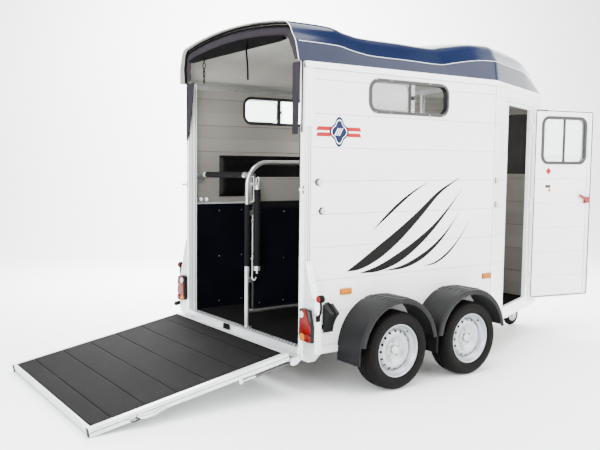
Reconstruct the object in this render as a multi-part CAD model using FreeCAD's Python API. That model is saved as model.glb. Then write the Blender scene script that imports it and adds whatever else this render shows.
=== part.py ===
import FreeCAD, Part
import math
import os

V = FreeCAD.Vector
os.makedirs("parts", exist_ok=True)

# Twin-axle horse trailer for two horses, standing on its wheels and its jockey wheel.
# X runs forward to the coupling, Y to the left, Z up from the ground, in millimetres.
# Drawn with x = 0 at the rear face of the rear posts, then moved so that the origin
# is at the middle of the whole trailer on the ground.

# Body
body_half_width = 870.0
wall_thickness = 28.0
floor_top = 335.0
floor_thickness = 20.0
mat_thickness = 8.0
wall_top = 2305.0
rail_height = 43.0
rail_proud = 6.0
side_length = 1980.0
nose_length = 1310.0
nose_angle = 21.3
sill_bottom = 290.0
sill_proud = 8.0

# Rear frame
post_width = 65.0
post_depth = 66.0
post_bottom = 267.0
post_sheet = 4.0
threshold_height = 72.0

# Chassis and drawbar
rail_half_track = 430.0
beam_height = 60.0
beam_width = 50.0
cross_height = 50.0
cross_width = 40.0
cross_under_sides = (90.0, 430.0, 1130.0, 1560.0, 1950.0)
cross_under_nose = (790.0, 170.0)
knee_setback = -25.0
drawbar_toe_in = 0.19
apex_half_width = 52.0
apex_drop = 25.0
coupling_height = 430.0
drawbar_reach = 610.0
coupling_reach = 500.0

# Wheels and axles
wheel_radius = 290.0
tyre_width = 195.0
wheel_stand_out = 246.0
rim_radius = 178.0
rim_flange_radius = 195.3
rim_sheet = 4.0
bead_gap = 0.4
disc_offset = 30.0
bolt_circle_radius = 56.0
disc_hole_count = 16
disc_hole_radius = 8.0
disc_hole_circle = 141.0
rear_axle_x = 698.0
axle_spacing = 770.0
arm_length = 150.0
axle_tube = 70.0
drum_radius = 112.0
spindle_radius = 20.0
spindle_setback = 14.0
running_gap = 0.3
soft_gap = 0.3
moving_gap = 6.0

# Mudguards
guard_radius = 382.0
guard_sheet = 4.0
guard_lip = 42.0
guard_rib_length = 210.0
guard_rib_width = 26.0
guard_rib_height = 5.0
guard_stand_out = 260.0
guard_front_z = 360.0
guard_rear_z = 225.0
guard_offset = -5.0
guard_rise = 12.0
guard_flat_drop = 6.0

# Ramp, drawn shut and then laid down on the floor
ramp_length = 1490.0
ramp_side_gap = 28.0
ramp_thickness = 55.0
ramp_rail_width = 30.0
ramp_mat = 6.0
ramp_plank = 26.0
ramp_strip_count = 7
ramp_strip_pitch = 233.0
ramp_seam = 7.0
ramp_hinge_x = -72.0
ramp_hinge_z = 262.0
ramp_face_gap = 6.0
ramp_start = 21.0
ramp_cap = 6.0
hinge_pin_radius = 8.0
hinge_arm_sheet = 8.0
ramp_lug_y = 790.0
ramp_lug_half = 5.0

# Gas struts that lift the ramp
strut_foot_x = -80.0
strut_foot_z = 245.0
strut_inset = 16.0
strut_eye_reach = 430.0
strut_eye_offset = -14.0
strut_eye_slack = 6.0
strut_tube_radius = 11.0
strut_rod_radius = 5.0
strut_pin_radius = 4.0
strut_tube_length = 290.0

# Tack door
door_start = 332.0
door_opening = 700.0
door_bottom = 390.0
door_top = 2173.0
door_lap = 12.0
door_thickness = 26.0
door_hinge_stand_off = 21.0
door_hinge_reach = 26.0
door_pin_radius = 4.5
door_knuckle_radius = 9.0
door_knuckle_half = 40.0
door_hinge_inset = 180.0
door_frame_proud = 4.0
door_swing = 147.7
door_gap = 10.0

# Windows
window_x0 = 574.0
window_x1 = 1409.0
window_z0 = 2019.0
window_z1 = 2274.0
window_corner = 88.0
window_frame = 22.0
window_proud = 8.0
glass_thickness = 4.0
nose_pane_edge = 69.0
nose_pane_bottom = 1550.0
nose_pane_top = 2190.0

# Partition and bars
partition_pivot_back = 30.0
partition_rear_x = 40.0
partition_tube = 25.0
partition_top = 1652.0
partition_bend = 190.0
partition_panel_bottom = 470.0
partition_panel_top = 1300.0
partition_lean = 1.6
bar_radius = 24.0
bar_length = 705.0
right_bar_short = 15.0
bar_pin_radius = 5.0
bar_tip_radius = 9.0
bar_ear_gap = 14.0
bar_pivot_x = 108.0
left_bar_y = 42.0
left_bar_z = 1556.0
right_bar_y = -60.0
right_bar_z = 1490.0

# Jockey wheel
jockey_ahead = 95.0
jockey_y = -60.0
jockey_trail = 65.0
jockey_radius = 105.0
jockey_width = 52.0
jockey_tube_radius = 24.0
clamp_height = 354.0

# Lamps and rear lamp boards
board_stand_out = 131.0
board_depth = 57.0
board_top = 965.0
lamp_bottom = 407.0
lamp_depth = 34.0
lamp_top = 640.0
chock_width = 84.0
chock_stand_off = 16.0

# Rear tarpaulin
band_thickness = 20.0
band_gap = 6.0
band_lean = 0.16
roll_z = 2553.0
roll_half = 690.0
roll_radius = 30.0
gusset_top = 2540.0
gusset_foot = 1852.0
gusset_depth = 5.0

# Roof
roof_sheet = 6.0
roof_overlap = 4.0
roof_rear_x = -106.0
roof_rear_lean = 42.0

nose_slope = math.tan(math.radians(nose_angle))
nose_dx = math.cos(math.radians(nose_angle))
nose_dy = math.sin(math.radians(nose_angle))
nose_x = side_length + nose_length
wall_inner_y = body_half_width - wall_thickness
board_bottom = floor_top - mat_thickness - floor_thickness
nose_half_width = body_half_width - nose_length * nose_slope
rail_top = wall_top + rail_height
opening_half_width = body_half_width - post_width
wheel_outer_y = body_half_width + wheel_stand_out
guard_outer_y = body_half_width + guard_stand_out
board_outer_y = body_half_width + board_stand_out
ramp_half_width = body_half_width - ramp_side_gap
gusset_outer = wall_inner_y + 7
strut_y = ramp_half_width - strut_inset
roof_base_half_width = body_half_width + roof_overlap
partition_pivot_x = side_length - partition_pivot_back
nose_pane_half = nose_half_width - nose_pane_edge
jockey_x = nose_x + jockey_ahead
apex_x = nose_x + drawbar_reach
coupling_nose_x = apex_x + coupling_reach
ramp_far = ramp_start + ramp_length + ramp_cap
ramp_face = -ramp_hinge_x - ramp_face_gap
ramp_back = ramp_face - ramp_thickness
ramp_reach = math.hypot(ramp_far, ramp_back)
ramp_slope = math.degrees(math.asin(ramp_hinge_z / ramp_reach) + math.atan2(ramp_back, ramp_far))
ramp_swing = 90.0 + ramp_slope
ramp_end_x = ramp_hinge_x - ramp_reach * math.cos(math.radians(ramp_slope) - math.atan2(ramp_back, ramp_far))
ramp_tip_x = ramp_end_x - ramp_thickness * math.sin(math.radians(ramp_slope))
middle_x = (ramp_tip_x + coupling_nose_x) / 2


def box(x0, x1, y0, y1, z0, z1):
    return Part.makeBox(x1 - x0, y1 - y0, z1 - z0, V(x0, y0, z0))


def rod(start, end, radius):
    axis = end - start
    return Part.makeCylinder(radius, axis.Length, start, axis)


def pipe(start, end, radius, bore):
    return rod(start, end, radius).cut(rod(start, end, bore))


def plan_prism(points, z0, z1):
    corners = [V(x, y, z0) for x, y in points]
    return Part.Face(Part.makePolygon(corners + corners[:1])).extrude(V(0, 0, z1 - z0))


def side_prism(points, y0, y1):
    corners = [V(x, y0, z) for x, z in points]
    return Part.Face(Part.makePolygon(corners + corners[:1])).extrude(V(0, y1 - y0, 0))


def rear_prism(points, x0, x1):
    corners = [V(x0, y, z) for y, z in points]
    return Part.Face(Part.makePolygon(corners + corners[:1])).extrude(V(x1 - x0, 0, 0))


def joined(shapes):
    first = shapes[0]
    return first.multiFuse(shapes[1:]).removeSplitter() if len(shapes) > 1 else first


def mirrored(shape):
    return shape.mirror(V(0, 0, 0), V(0, 1, 0))


def both_sides(shape):
    return [shape, mirrored(shape)]


def turned(shape, centre, axis, angle):
    copy = shape.copy()
    copy.rotate(centre, axis, angle)
    return copy


def rounded_panel(width, height, radius, depth):
    """A plate with round corners, width along X and height along Z, its depth along Y."""
    w, h, r = width, height, radius
    k = r * (1 - math.sqrt(0.5))
    edges = [
        Part.makeLine(V(r, 0, 0), V(w - r, 0, 0)),
        Part.Arc(V(w - r, 0, 0), V(w - k, 0, k), V(w, 0, r)).toShape(),
        Part.makeLine(V(w, 0, r), V(w, 0, h - r)),
        Part.Arc(V(w, 0, h - r), V(w - k, 0, h - k), V(w - r, 0, h)).toShape(),
        Part.makeLine(V(w - r, 0, h), V(r, 0, h)),
        Part.Arc(V(r, 0, h), V(k, 0, h - k), V(0, 0, h - r)).toShape(),
        Part.makeLine(V(0, 0, h - r), V(0, 0, r)),
        Part.Arc(V(0, 0, r), V(k, 0, k), V(r, 0, 0)).toShape(),
    ]
    return Part.Face(Part.Wire(edges)).extrude(V(0, depth, 0))


def save(node, shapes):
    solids = [solid for shape in shapes for solid in shape.Solids]
    whole = Part.makeCompound(solids) if len(solids) > 1 else solids[0]
    whole.translate(V(-middle_x, 0, 0))
    whole.exportStep("parts/" + node + ".step")


# Body shell

def nose_point(along, out=0.0):
    """A point on the right nose panel: along it from the side corner, out from its face."""
    return V(side_length + along * nose_dx + out * nose_dy, -body_half_width + along * nose_dy - out * nose_dx, 0)


def on_nose(shape):
    """Carry a shape drawn along X on the plane y = 0 to the right nose panel."""
    placed = turned(shape, V(0, 0, 0), V(0, 0, 1), nose_angle)
    placed.translate(nose_point(0))
    return placed


def inner_corner(offset):
    """Where the side's and the nose panel's lines meet, both moved inwards by offset."""
    y = body_half_width - offset
    x = side_length - offset * math.tan(math.radians(nose_angle / 2))
    return x, y


def inner_front(offset):
    x = nose_x - offset
    corner_x, corner_y = inner_corner(offset)
    return x, corner_y - (x - corner_x) * nose_slope


def window_cut(face_y):
    cut = rounded_panel(
        window_x1 - window_x0 - 2 * window_frame + 12, window_z1 - window_z0 - 2 * window_frame + 12,
        window_corner - window_frame + 6, 200)
    cut.translate(V(window_x0 + window_frame - 6, face_y - 100, window_z0 + window_frame - 6))
    return cut


def make_side_wall():
    inner_x, inner_y = inner_corner(wall_thickness)
    wall = plan_prism([
        (post_depth, -body_half_width), (side_length, -body_half_width),
        (inner_x, -inner_y), (post_depth, -inner_y)], floor_top, wall_top)
    return wall.cut(window_cut(-body_half_width))


def make_nose_wall():
    inner_x, inner_y = inner_corner(wall_thickness)
    front_x, front_y = inner_front(wall_thickness)
    return plan_prism([
        (side_length, -body_half_width), (nose_x, -nose_half_width),
        (front_x, -front_y), (inner_x, -inner_y)], floor_top, wall_top)


def make_front_wall():
    front_x, front_y = inner_front(wall_thickness)
    return plan_prism([
        (nose_x, -nose_half_width), (nose_x, nose_half_width),
        (front_x, front_y), (front_x, -front_y)], floor_top, wall_top)


def doorway():
    return on_nose(box(door_start, door_start + door_opening, -100, 100, door_bottom, door_top))


def ring_round_body(out, inward, z0, z1):
    """A band of even width round the sides and nose, open at the rear."""
    outer_x, outer_y = inner_corner(-out)
    outer_fx, outer_fy = inner_front(-out)
    inner_x, inner_y = inner_corner(inward)
    inner_fx, inner_fy = inner_front(inward)
    return plan_prism([
        (0, -outer_y), (outer_x, -outer_y), (outer_fx, -outer_fy), (outer_fx, outer_fy),
        (outer_x, outer_y), (0, outer_y), (0, inner_y), (inner_x, inner_y),
        (inner_fx, inner_fy), (inner_fx, -inner_fy), (inner_x, -inner_y), (0, -inner_y)], z0, z1)


def floor_plan(inset):
    corner_x, corner_y = inner_corner(inset)
    front_x, front_y = inner_front(inset)
    return [(0, -corner_y), (corner_x, -corner_y), (front_x, -front_y),
            (front_x, front_y), (corner_x, corner_y), (0, corner_y)]


def make_body():
    side = make_side_wall()
    save("side_wall_right", [side])
    save("side_wall_left", [mirrored(side)])
    nose = make_nose_wall()
    save("nose_wall_right", [nose.cut(doorway())])
    save("nose_wall_left", [mirrored(nose)])
    hole = rounded_panel(2 * nose_pane_half - 40, nose_pane_top - nose_pane_bottom - 40, 60, 200)
    hole = turned(hole, V(0, 0, 0), V(0, 0, 1), 90)
    hole.translate(V(nose_x + 100, -nose_pane_half + 20, nose_pane_bottom + 20))
    save("nose_wall_front", [make_front_wall().cut(hole)])
    pane = rounded_panel(2 * nose_pane_half, nose_pane_top - nose_pane_bottom, 80, glass_thickness)
    pane = turned(pane, V(0, 0, 0), V(0, 0, 1), 90)
    pane.translate(V(nose_x + glass_thickness, -nose_pane_half, nose_pane_bottom))
    save("nose_window", [pane])
    save("top_rail", [ring_round_body(rail_proud, wall_thickness, wall_top, rail_top)])
    sill = ring_round_body(sill_proud, wall_thickness, sill_bottom, floor_top)
    sill = sill.cut(box(-1, post_depth, -1000, 1000, 0, 400))
    for beam in both_sides(chassis_beam()):
        sill = sill.cut(beam)
    save("sill_rail", [sill])
    board_top_z = floor_top - mat_thickness
    posts_clear = box(-1, post_depth, -1000, 1000, 0, 400)
    board = plan_prism(floor_plan(wall_thickness), board_top_z - floor_thickness, board_top_z)
    mat = plan_prism(floor_plan(wall_thickness), board_top_z, floor_top)
    save("floor_board", [board.cut(posts_clear)])
    save("floor_mat", [mat.cut(posts_clear)])


# Rear frame

def lamp_board():
    """Sheet pan outboard of the right post, narrow at its top, which carries the tail lamp."""
    points = [(-body_half_width, board_top), (-body_half_width - 15, board_top), (-board_outer_y, 611),
              (-board_outer_y, 330), (-board_outer_y + 71, 262), (-body_half_width, 262)]
    pan = rear_prism(points, 0, board_depth)
    room = rear_prism([(-body_half_width - 1, board_top - 9), (-body_half_width - 13, board_top - 9),
                       (-board_outer_y + 3, 611), (-board_outer_y + 3, 332), (-board_outer_y + 72, 265),
                       (-body_half_width - 1, 265)], 3, board_depth + 1)
    return pan.cut(room)


def make_rear_frame():
    outer = box(0, post_depth, -body_half_width, -opening_half_width, post_bottom, rail_top)
    hollow = box(
        post_sheet, post_depth + 1, -body_half_width + post_sheet, -opening_half_width - post_sheet,
        post_bottom - 1, wall_top - 1)
    post = outer.cut(hollow).cut(box(-1, post_depth + 1, -2000, -wall_inner_y, wall_top, rail_top + 1))
    sill = box(0, post_depth, -opening_half_width, opening_half_width, floor_top - threshold_height,
               floor_top + 4)
    room = box(post_sheet, post_depth + 1, -opening_half_width - 1, opening_half_width + 1,
               floor_top - threshold_height + post_sheet, floor_top)
    boards = both_sides(lamp_board())
    save("rear_frame", both_sides(post) + [sill.cut(room)] + boards)

# Roof: columns are x, height of the crease, height of the shoulder, rise of the crown
roof_stations = [
    (-110, 2483, 2642, 52),
    (290, 2477, 2638, 55),
    (430, 2454, 2606, 55),
    (590, 2434, 2585, 55),
    (1340, 2428, 2580, 55),
    (1480, 2452, 2600, 55),
    (1760, 2495, 2645, 55),
    (1980, 2505, 2655, 58),
    (2300, 2505, 2658, 55),
    (2750, 2500, 2652, 45),
    (2915, 2462, 2628, 35),
    (3062, 2426, 2580, 28),
    (3185, 2394, 2508, 20),
    (3262, 2370, 2436, 12),
    (3290, 2356, 2384, 8),
]


def roof_half_width(x):
    return roof_base_half_width - max(0.0, x - side_length) * nose_slope


def roof_section(x, crease, shoulder, rise, inset, base):
    w = roof_half_width(x) - inset
    lift = (shoulder - crease)
    c = crease - inset * 0.3
    s = c + lift - inset * 0.6
    k = V(x, -(w - 22), c)
    e = V(x, -(w - 60), c + 0.42 * (s - c))
    m = V(x, -(w - 86), c + 0.74 * (s - c))
    f = V(x, -(w - 140), c + 0.95 * (s - c))
    top = V(x, 0, s + rise)
    flip = [V(p.x, -p.y, p.z) for p in (f, m, e, k)]
    b = V(x, -w, base)
    b2 = V(x, w, base)
    return Part.Wire([
        Part.makeLine(b, k), Part.makeLine(k, e), Part.Arc(e, m, f).toShape(),
        Part.Arc(f, top, flip[0]).toShape(), Part.Arc(flip[0], flip[1], flip[2]).toShape(),
        Part.makeLine(flip[2], flip[3]), Part.makeLine(flip[3], b2), Part.makeLine(b2, b)])


def inner_roof_rows():
    """The roof's stations, carried out past its rear edge and kept back from its nose."""
    first = roof_stations[0]
    last = roof_stations[-1]
    return [(first[0] - 50,) + first[1:]] + roof_stations[1:-1] + [(last[0] - roof_sheet,) + last[1:]]


def make_roof():
    outer = Part.makeLoft([roof_section(*row, 0.0, rail_top) for row in roof_stations], True, True)
    inner = Part.makeLoft(
        [roof_section(*row, roof_sheet, rail_top - 30) for row in inner_roof_rows()], True, True)
    shell = outer.cut(inner)
    lean = side_prism([
        (-200, rail_top - 10), (roof_rear_x + roof_rear_lean, rail_top - 10),
        (roof_rear_x, 2800), (-200, 2800)], -1000, 1000)
    save("roof_shell", [shell.cut(lean)])


# Windows in the two sides

def make_windows():
    width = window_x1 - window_x0
    height = window_z1 - window_z0
    frame = rounded_panel(width, height, window_corner, window_proud)
    hole = rounded_panel(
        width - 2 * window_frame, height - 2 * window_frame, window_corner - window_frame, 100)
    hole.translate(V(window_frame, -50, window_frame))
    collar = rounded_panel(
        width - 2 * window_frame + 12, height - 2 * window_frame + 12, window_corner - window_frame + 6,
        wall_thickness + 2)
    collar.translate(V(window_frame - 6, 0, window_frame - 6))
    frame.translate(V(0, -window_proud, 0))
    divider = box(404, 424, -4, 10, window_frame - 1, height - window_frame + 1)
    frame = frame.fuse(collar).cut(hole).fuse(divider)
    pane = box(
        window_frame, 404, 0, glass_thickness, window_frame, height - window_frame)
    pane = pane.common(hole)
    frame.translate(V(window_x0, -body_half_width, window_z0))
    pane.translate(V(window_x0, -body_half_width, window_z0))
    save("side_window_frames", both_sides(frame.removeSplitter()))
    save("side_window_glass", both_sides(pane))


# Door on the right nose panel, drawn shut in panel coordinates: x along, y in, z up

def door_point():
    return nose_point(door_start + door_opening + door_hinge_reach, door_hinge_stand_off)


def make_door():
    hinge = door_point()

    def place(shape):
        return turned(on_nose(shape), hinge, V(0, 0, 1), door_swing)

    x0 = door_start - door_lap
    x1 = door_start + door_opening + door_lap
    z0 = door_bottom - door_lap
    z1 = door_top + door_lap
    outer_face = -door_gap - door_thickness
    window = rounded_panel(532, 430, 70, 200)
    window.translate(V(x0 + 95, -100, z1 - 505))
    leaf = box(x0, x1, outer_face, -door_gap, z0, z1).cut(window)
    ring = rounded_panel(560, 458, 84, door_thickness + 2 * window_proud)
    inside = rounded_panel(504, 402, 56, 200)
    inside.translate(V(28, -50, 28))
    ring = ring.cut(inside)
    ring.translate(V(x0 + 81, outer_face - window_proud, z1 - 519))
    ring = ring.cut(leaf)
    bar = box(x0 + 81 + 262, x0 + 81 + 280, outer_face + 4, -door_gap - 4, z1 - 495, z1 - 87)
    save("tack_door_window_frame", [place(ring.fuse(bar))])
    pane = rounded_panel(504, 402, 56, glass_thickness)
    pane.translate(V(x0 + 109, outer_face + 10, z1 - 491))
    save("tack_door_glass", [place(pane.cut(bar))])
    handle = joined([
        box(x0 + 40, x0 + 90, -door_gap, 22, 1290, 1350),
        turned(box(x0 + 55, x0 + 175, 10, 22, 1308, 1332), V(x0 + 65, 0, 1320), V(0, 1, 0), -25)])
    save("tack_door_latch", [place(handle)])
    hinge_x = door_start + door_opening + door_hinge_reach
    half = door_knuckle_half
    pieces = [leaf]
    for z in door_hinge_heights():
        low = V(hinge_x, -door_hinge_stand_off, z - half)
        high = V(hinge_x, -door_hinge_stand_off, z + half)
        web = box(x1 - 1, hinge_x, -door_hinge_stand_off - 4, -door_hinge_stand_off + 4, z - half, z + half)
        knuckle = joined([web, rod(low, high, door_knuckle_radius)])
        pieces.append(knuckle.cut(rod(low - V(0, 0, 1), high + V(0, 0, 1), door_pin_radius + running_gap)))
    save("tack_door_leaf", [place(joined(pieces))])


def door_hinge_heights():
    low = door_bottom - door_lap + door_hinge_inset
    high = door_top + door_lap - door_hinge_inset
    return low, (low + high) / 2, high


def make_door_frame():
    """Rim round the doorway, drip rail over it, sill under it and the pins of the hinges."""
    proud = door_frame_proud
    x0 = door_start
    x1 = door_start + door_opening
    rim = box(x0 - 24, x1 + 70, -proud, 0, door_bottom - 24, door_top + 24)
    rim = rim.cut(box(x0, x1, -50, 50, door_bottom, door_top))
    drip = box(x0 - 70, x1 + 100, -22, 0, door_top + 32, door_top + 44)
    sill = box(x0 - 24, x1 + 70, -sill_proud, 0, floor_top, door_bottom - 24)
    hinge_x = x1 + door_hinge_reach
    y = -door_hinge_stand_off
    reach = door_knuckle_half + moving_gap
    pieces = []
    for z in door_hinge_heights():
        pin = rod(V(hinge_x, y, z - reach - 14), V(hinge_x, y, z + reach + 14), door_pin_radius)
        for low in (z - reach - 14, z + reach):
            post = box(hinge_x - 6, hinge_x + 6, y, -proud, low, low + 14)
            pin = pin.fuse(post).fuse(rod(V(hinge_x, y, low), V(hinge_x, y, low + 14), 6))
        pieces.append(pin)
    save("door_frame", [on_nose(joined([rim, drip, sill] + pieces))])


# Chassis, drawbar and coupling

def slanted_beam(start, end, width, height):
    """A box beam between two points, its section upright across the run."""
    run = end - start
    flat = math.hypot(run.x, run.y)
    beam = Part.makeBox(run.Length, width, height, V(0, -width / 2, -height / 2))
    beam.rotate(V(0, 0, 0), V(0, 1, 0), -math.degrees(math.atan2(run.z, flat)))
    beam.rotate(V(0, 0, 0), V(0, 0, 1), math.degrees(math.atan2(run.y, run.x)))
    beam.translate(start)
    return beam


def chassis_beam():
    """The right-hand beam: straight under the body, drawn in and raised towards the coupling."""
    z = board_bottom - beam_height / 2
    half = beam_width / 2
    rail = box(post_depth + 4, side_length, -rail_half_track - half, -rail_half_track + half,
               board_bottom - beam_height, board_bottom)
    elbow = V(side_length, -rail_half_track, z)
    knee = V(nose_x - knee_setback, -rail_half_track + (nose_x - knee_setback - side_length) * drawbar_toe_in, z)
    apex = V(apex_x, -apex_half_width, coupling_height - apex_drop)
    back = (apex - knee).normalize() * 10
    beam = joined([
        slanted_beam(elbow, knee, beam_width, beam_height),
        slanted_beam(knee - back, apex, beam_width, beam_height)])
    beam = beam.cut(box(apex_x, apex_x + 200, -300, 300, 0, 900))
    return joined([rail, beam])


def interior(z0, z1):
    """The room between the walls, from the posts to the front."""
    return plan_prism(floor_plan(wall_thickness), z0, z1)


def make_chassis():
    beams = both_sides(chassis_beam())
    room = interior(board_bottom - cross_height - 1, board_bottom + 1)
    crosses = []
    for x in cross_under_sides + tuple(nose_x - back for back in cross_under_nose):
        cross = box(x, x + cross_width, -body_half_width, body_half_width, board_bottom - cross_height, board_bottom)
        cross = cross.common(room)
        for beam in beams:
            cross = cross.cut(beam)
        crosses.append(cross)
    save("cross_members", crosses)
    save("chassis_beams", beams)


def make_coupling():
    z = coupling_height
    plate = box(apex_x - 190, apex_x - 20, -105, 105, z - 70, z + 14)
    for beam in both_sides(chassis_beam()):
        plate = plate.cut(beam)
    plate = plate.cut(box(apex_x - 200, apex_x, -200, 200, z - 80, z - 40))
    housing = joined([
        box(apex_x - 200, apex_x + 130, -27, 27, z - 62, z + 6),
        rod(V(apex_x + 120, 0, z), V(apex_x + 190, 0, z), 34)])
    gaiter = [rod(V(apex_x + 190, 0, z), V(apex_x + 290, 0, z), 24)]
    for i in range(5):
        gaiter.append(rod(V(apex_x + 195 + 19 * i, 0, z), V(apex_x + 204 + 19 * i, 0, z), 33))
    save("overrun_gaiter", [joined(gaiter)])
    ball_x = coupling_nose_x - 55
    head = joined([
        rod(V(apex_x + 290, 0, z), V(ball_x - 20, 0, z), 22),
        Part.makeSphere(50, V(ball_x, 0, z)),
        rod(V(ball_x, 0, z - 30), V(ball_x, 0, z), 55)])
    head = head.cut(box(ball_x - 90, ball_x + 90, -90, 90, z - 90, z - 28))
    head = head.cut(Part.makeSphere(25.5, V(ball_x, 0, z))).cut(rod(V(ball_x, 0, z - 60), V(ball_x, 0, z), 25.5))
    lever = joined([
        rod(V(ball_x - 60, 0, z + 40), V(ball_x - 150, 0, z + 95), 11),
        box(ball_x - 66, ball_x - 30, -12, 12, z + 30, z + 52)])
    save("coupling_head", [joined([head, lever.cut(Part.makeSphere(40, V(ball_x, 0, z)))])])
    brake = joined([
        box(apex_x + 4, apex_x + 64, 27, 37, z - 30, z + 50),
        rod(V(apex_x + 30, 32, z + 30), V(apex_x + 100, 32, z + 300), 9)])
    whole = joined([plate, housing, brake])
    for beam in both_sides(chassis_beam()):
        whole = whole.cut(beam)
    save("overrun_housing", [whole])


# Axles and wheels

def make_axles():
    axles = []
    for x in (rear_axle_x, rear_axle_x + axle_spacing):
        top = board_bottom - beam_height
        z = top - axle_tube / 2 - 8
        tube = box(x + arm_length - axle_tube / 2, x + arm_length + axle_tube / 2, -body_half_width + 10,
                   body_half_width - 10,
                   z - axle_tube / 2, z + axle_tube / 2)
        pads = box(x + arm_length - 60, x + arm_length + 60, -rail_half_track - 40, -rail_half_track + 40,
                   z + axle_tube / 2, top)
        hub_y = wheel_outer_y - tyre_width / 2 + disc_offset - spindle_setback
        plate_y = wheel_outer_y - tyre_width - 14
        arm = joined([
            rod(V(x + arm_length, -body_half_width + 10, z), V(x + arm_length, -plate_y + 24, z), 28),
            slanted_beam(V(x + arm_length + 20, -plate_y + 12, z), V(x - 25, -plate_y + 12, wheel_radius), 24, 60),
            rod(V(x, -plate_y, wheel_radius), V(x, -plate_y - 8, wheel_radius), drum_radius + 6),
            rod(V(x, -plate_y, wheel_radius), V(x, -hub_y, wheel_radius), spindle_radius)])
        axles.append(joined([tube] + both_sides(pads) + both_sides(arm)))
    save("axles", axles)


def make_wheel(x, side):
    """One wheel on the right side, mirrored for the left: tyre, then rim with its drum."""
    outer = -wheel_outer_y
    inner = outer + tyre_width
    r = wheel_radius
    seat = rim_flange_radius - 6

    def profile(points):
        corners = [V(x, y, wheel_radius + radius) for y, radius in points]
        face = Part.Face(Part.makePolygon(corners + corners[:1]))
        return face.revolve(V(x, 0, wheel_radius), V(0, 1, 0), 360)

    lip = rim_flange_radius + bead_gap
    tyre = profile([
        (outer + 22 + bead_gap, seat), (outer + 19 + bead_gap, lip), (outer + 6, seat + 16), (outer, seat + 48),
        (outer + 6, r - 26), (outer + 22, r - 8), (outer + 50, r), (inner - 50, r), (inner - 22, r - 8),
        (inner - 6, r - 26), (inner, seat + 48), (inner - 6, seat + 16), (inner - 19 - bead_gap, lip),
        (inner - 22 - bead_gap, seat)])
    rim_out = outer + 14
    rim_in = inner - 14
    disc = outer + tyre_width / 2 - disc_offset
    t = rim_sheet
    barrel = profile([
        (rim_out, rim_flange_radius), (rim_out + 5, rim_flange_radius), (rim_out + 8, seat - 1),
        (rim_out + 34, rim_radius), (rim_out + 52, rim_radius - 20), (rim_in - 52, rim_radius - 20),
        (rim_in - 34, rim_radius), (rim_in - 8, seat - 1), (rim_in - 5, rim_flange_radius),
        (rim_in, rim_flange_radius), (rim_in - 4, seat - 1 - t), (rim_in - 32, rim_radius - t),
        (rim_in - 50, rim_radius - 20 - t), (rim_out + 50, rim_radius - 20 - t),
        (rim_out + 32, rim_radius - t), (rim_out + 4, seat - 1 - t)])
    centre = profile([
        (disc, 0.01), (disc - 2, 78), (disc - 22, 112), (disc - 22, 134), (disc + 4, rim_radius - 23),
        (disc + 12, rim_radius - 23), (disc - 16, 130), (disc - 16, 114), (disc + 5, 80), (disc + 6, 0.01)])
    for i in range(disc_hole_count):
        angle = 2 * math.pi * i / disc_hole_count
        at = V(x + disc_hole_circle * math.cos(angle), disc - 60,
               wheel_radius + disc_hole_circle * math.sin(angle))
        centre = centre.cut(rod(at, at + V(0, 120, 0), disc_hole_radius))
    cap = profile([(disc - 26, 0.01), (disc - 26, 24), (disc - 20, 32), (disc + 1, 34), (disc + 1, 0.01)])
    bolts = []
    for i in range(5):
        angle = 2 * math.pi * (i + 0.25) / 5
        at = V(x + bolt_circle_radius * math.cos(angle), disc + 1,
               wheel_radius + bolt_circle_radius * math.sin(angle))
        bolts.append(rod(at, at - V(0, 16, 0), 10))
    drum_in = -(wheel_outer_y - tyre_width - 14) - 8 - moving_gap
    drum = rod(V(x, disc + 6, wheel_radius), V(x, drum_in, wheel_radius), drum_radius)
    bore = rod(V(x, disc + 8, wheel_radius), V(x, drum_in + 1, wheel_radius), spindle_radius + running_gap)
    rim = joined([barrel, centre, cap, drum.cut(bore)] + bolts)
    shapes = {"tyre": tyre, "rim": rim}
    for kind, shape in shapes.items():
        if side == "left":
            shape = mirrored(shape)
        place = "rear" if x < rear_axle_x + 1 else "front"
        save(kind + "_" + place + "_" + side, [shape])


def make_mudguards():
    arches = []
    for x in (rear_axle_x, rear_axle_x + axle_spacing):
        cx = x + guard_offset
        cz = wheel_radius + guard_rise

        def arch(radius, y0, y1, low_rear, low_front):
            round_top = Part.makeCylinder(radius, y1 - y0, V(cx, y0, cz), V(0, 1, 0))
            round_top = round_top.common(
                box(cx - radius, cx + radius, y0, y1, cz, cz + radius - guard_flat_drop))
            skirt = box(cx - radius, cx + radius, y0, y1, -100, cz)
            whole = round_top.fuse(skirt)
            below = box(cx - radius - 1, cx, y0 - 1, y1 + 1, -400, low_rear)
            front = box(cx, cx + radius + 1, y0 - 1, y1 + 1, -400, low_front)
            return whole.cut(below).cut(front)

        y0, y1 = -guard_outer_y, -body_half_width
        shell = arch(guard_radius, y0, y1, guard_rear_z, guard_front_z)
        shell = shell.cut(arch(guard_radius - guard_sheet, y0 - 1, y1 + 1, -50, -50))
        ribs = [box(cx - guard_rib_length / 2, cx + guard_rib_length / 2, y - guard_rib_width / 2,
                    y + guard_rib_width / 2, cz + guard_radius - guard_flat_drop - 1,
                    cz + guard_radius - guard_flat_drop + guard_rib_height)
                for y in (y1 - 45, y1 - 100, y1 - 155, y1 - 210)]
        shell = joined([shell] + ribs)
        lip = arch(guard_radius, y0, y0 + guard_sheet, guard_front_z, guard_front_z)
        lip = lip.cut(arch(guard_radius - guard_lip, y0 - 1, y0 + 50, -50, -50))
        band = box(cx - guard_radius - 5, cx + guard_radius + 5, -body_half_width - sill_proud,
                   -body_half_width + 1, sill_bottom, floor_top)
        arches.append(shell.fuse(lip).cut(band).removeSplitter())
    save("mudguards", arches + [mirrored(guard) for guard in arches])


# Ramp, struts and hinges, drawn shut about the hinge line

def hinge_point():
    return V(ramp_hinge_x, 0, ramp_hinge_z)


def laid_down(shape):
    return turned(shape, hinge_point(), V(0, 1, 0), -ramp_swing)


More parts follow.
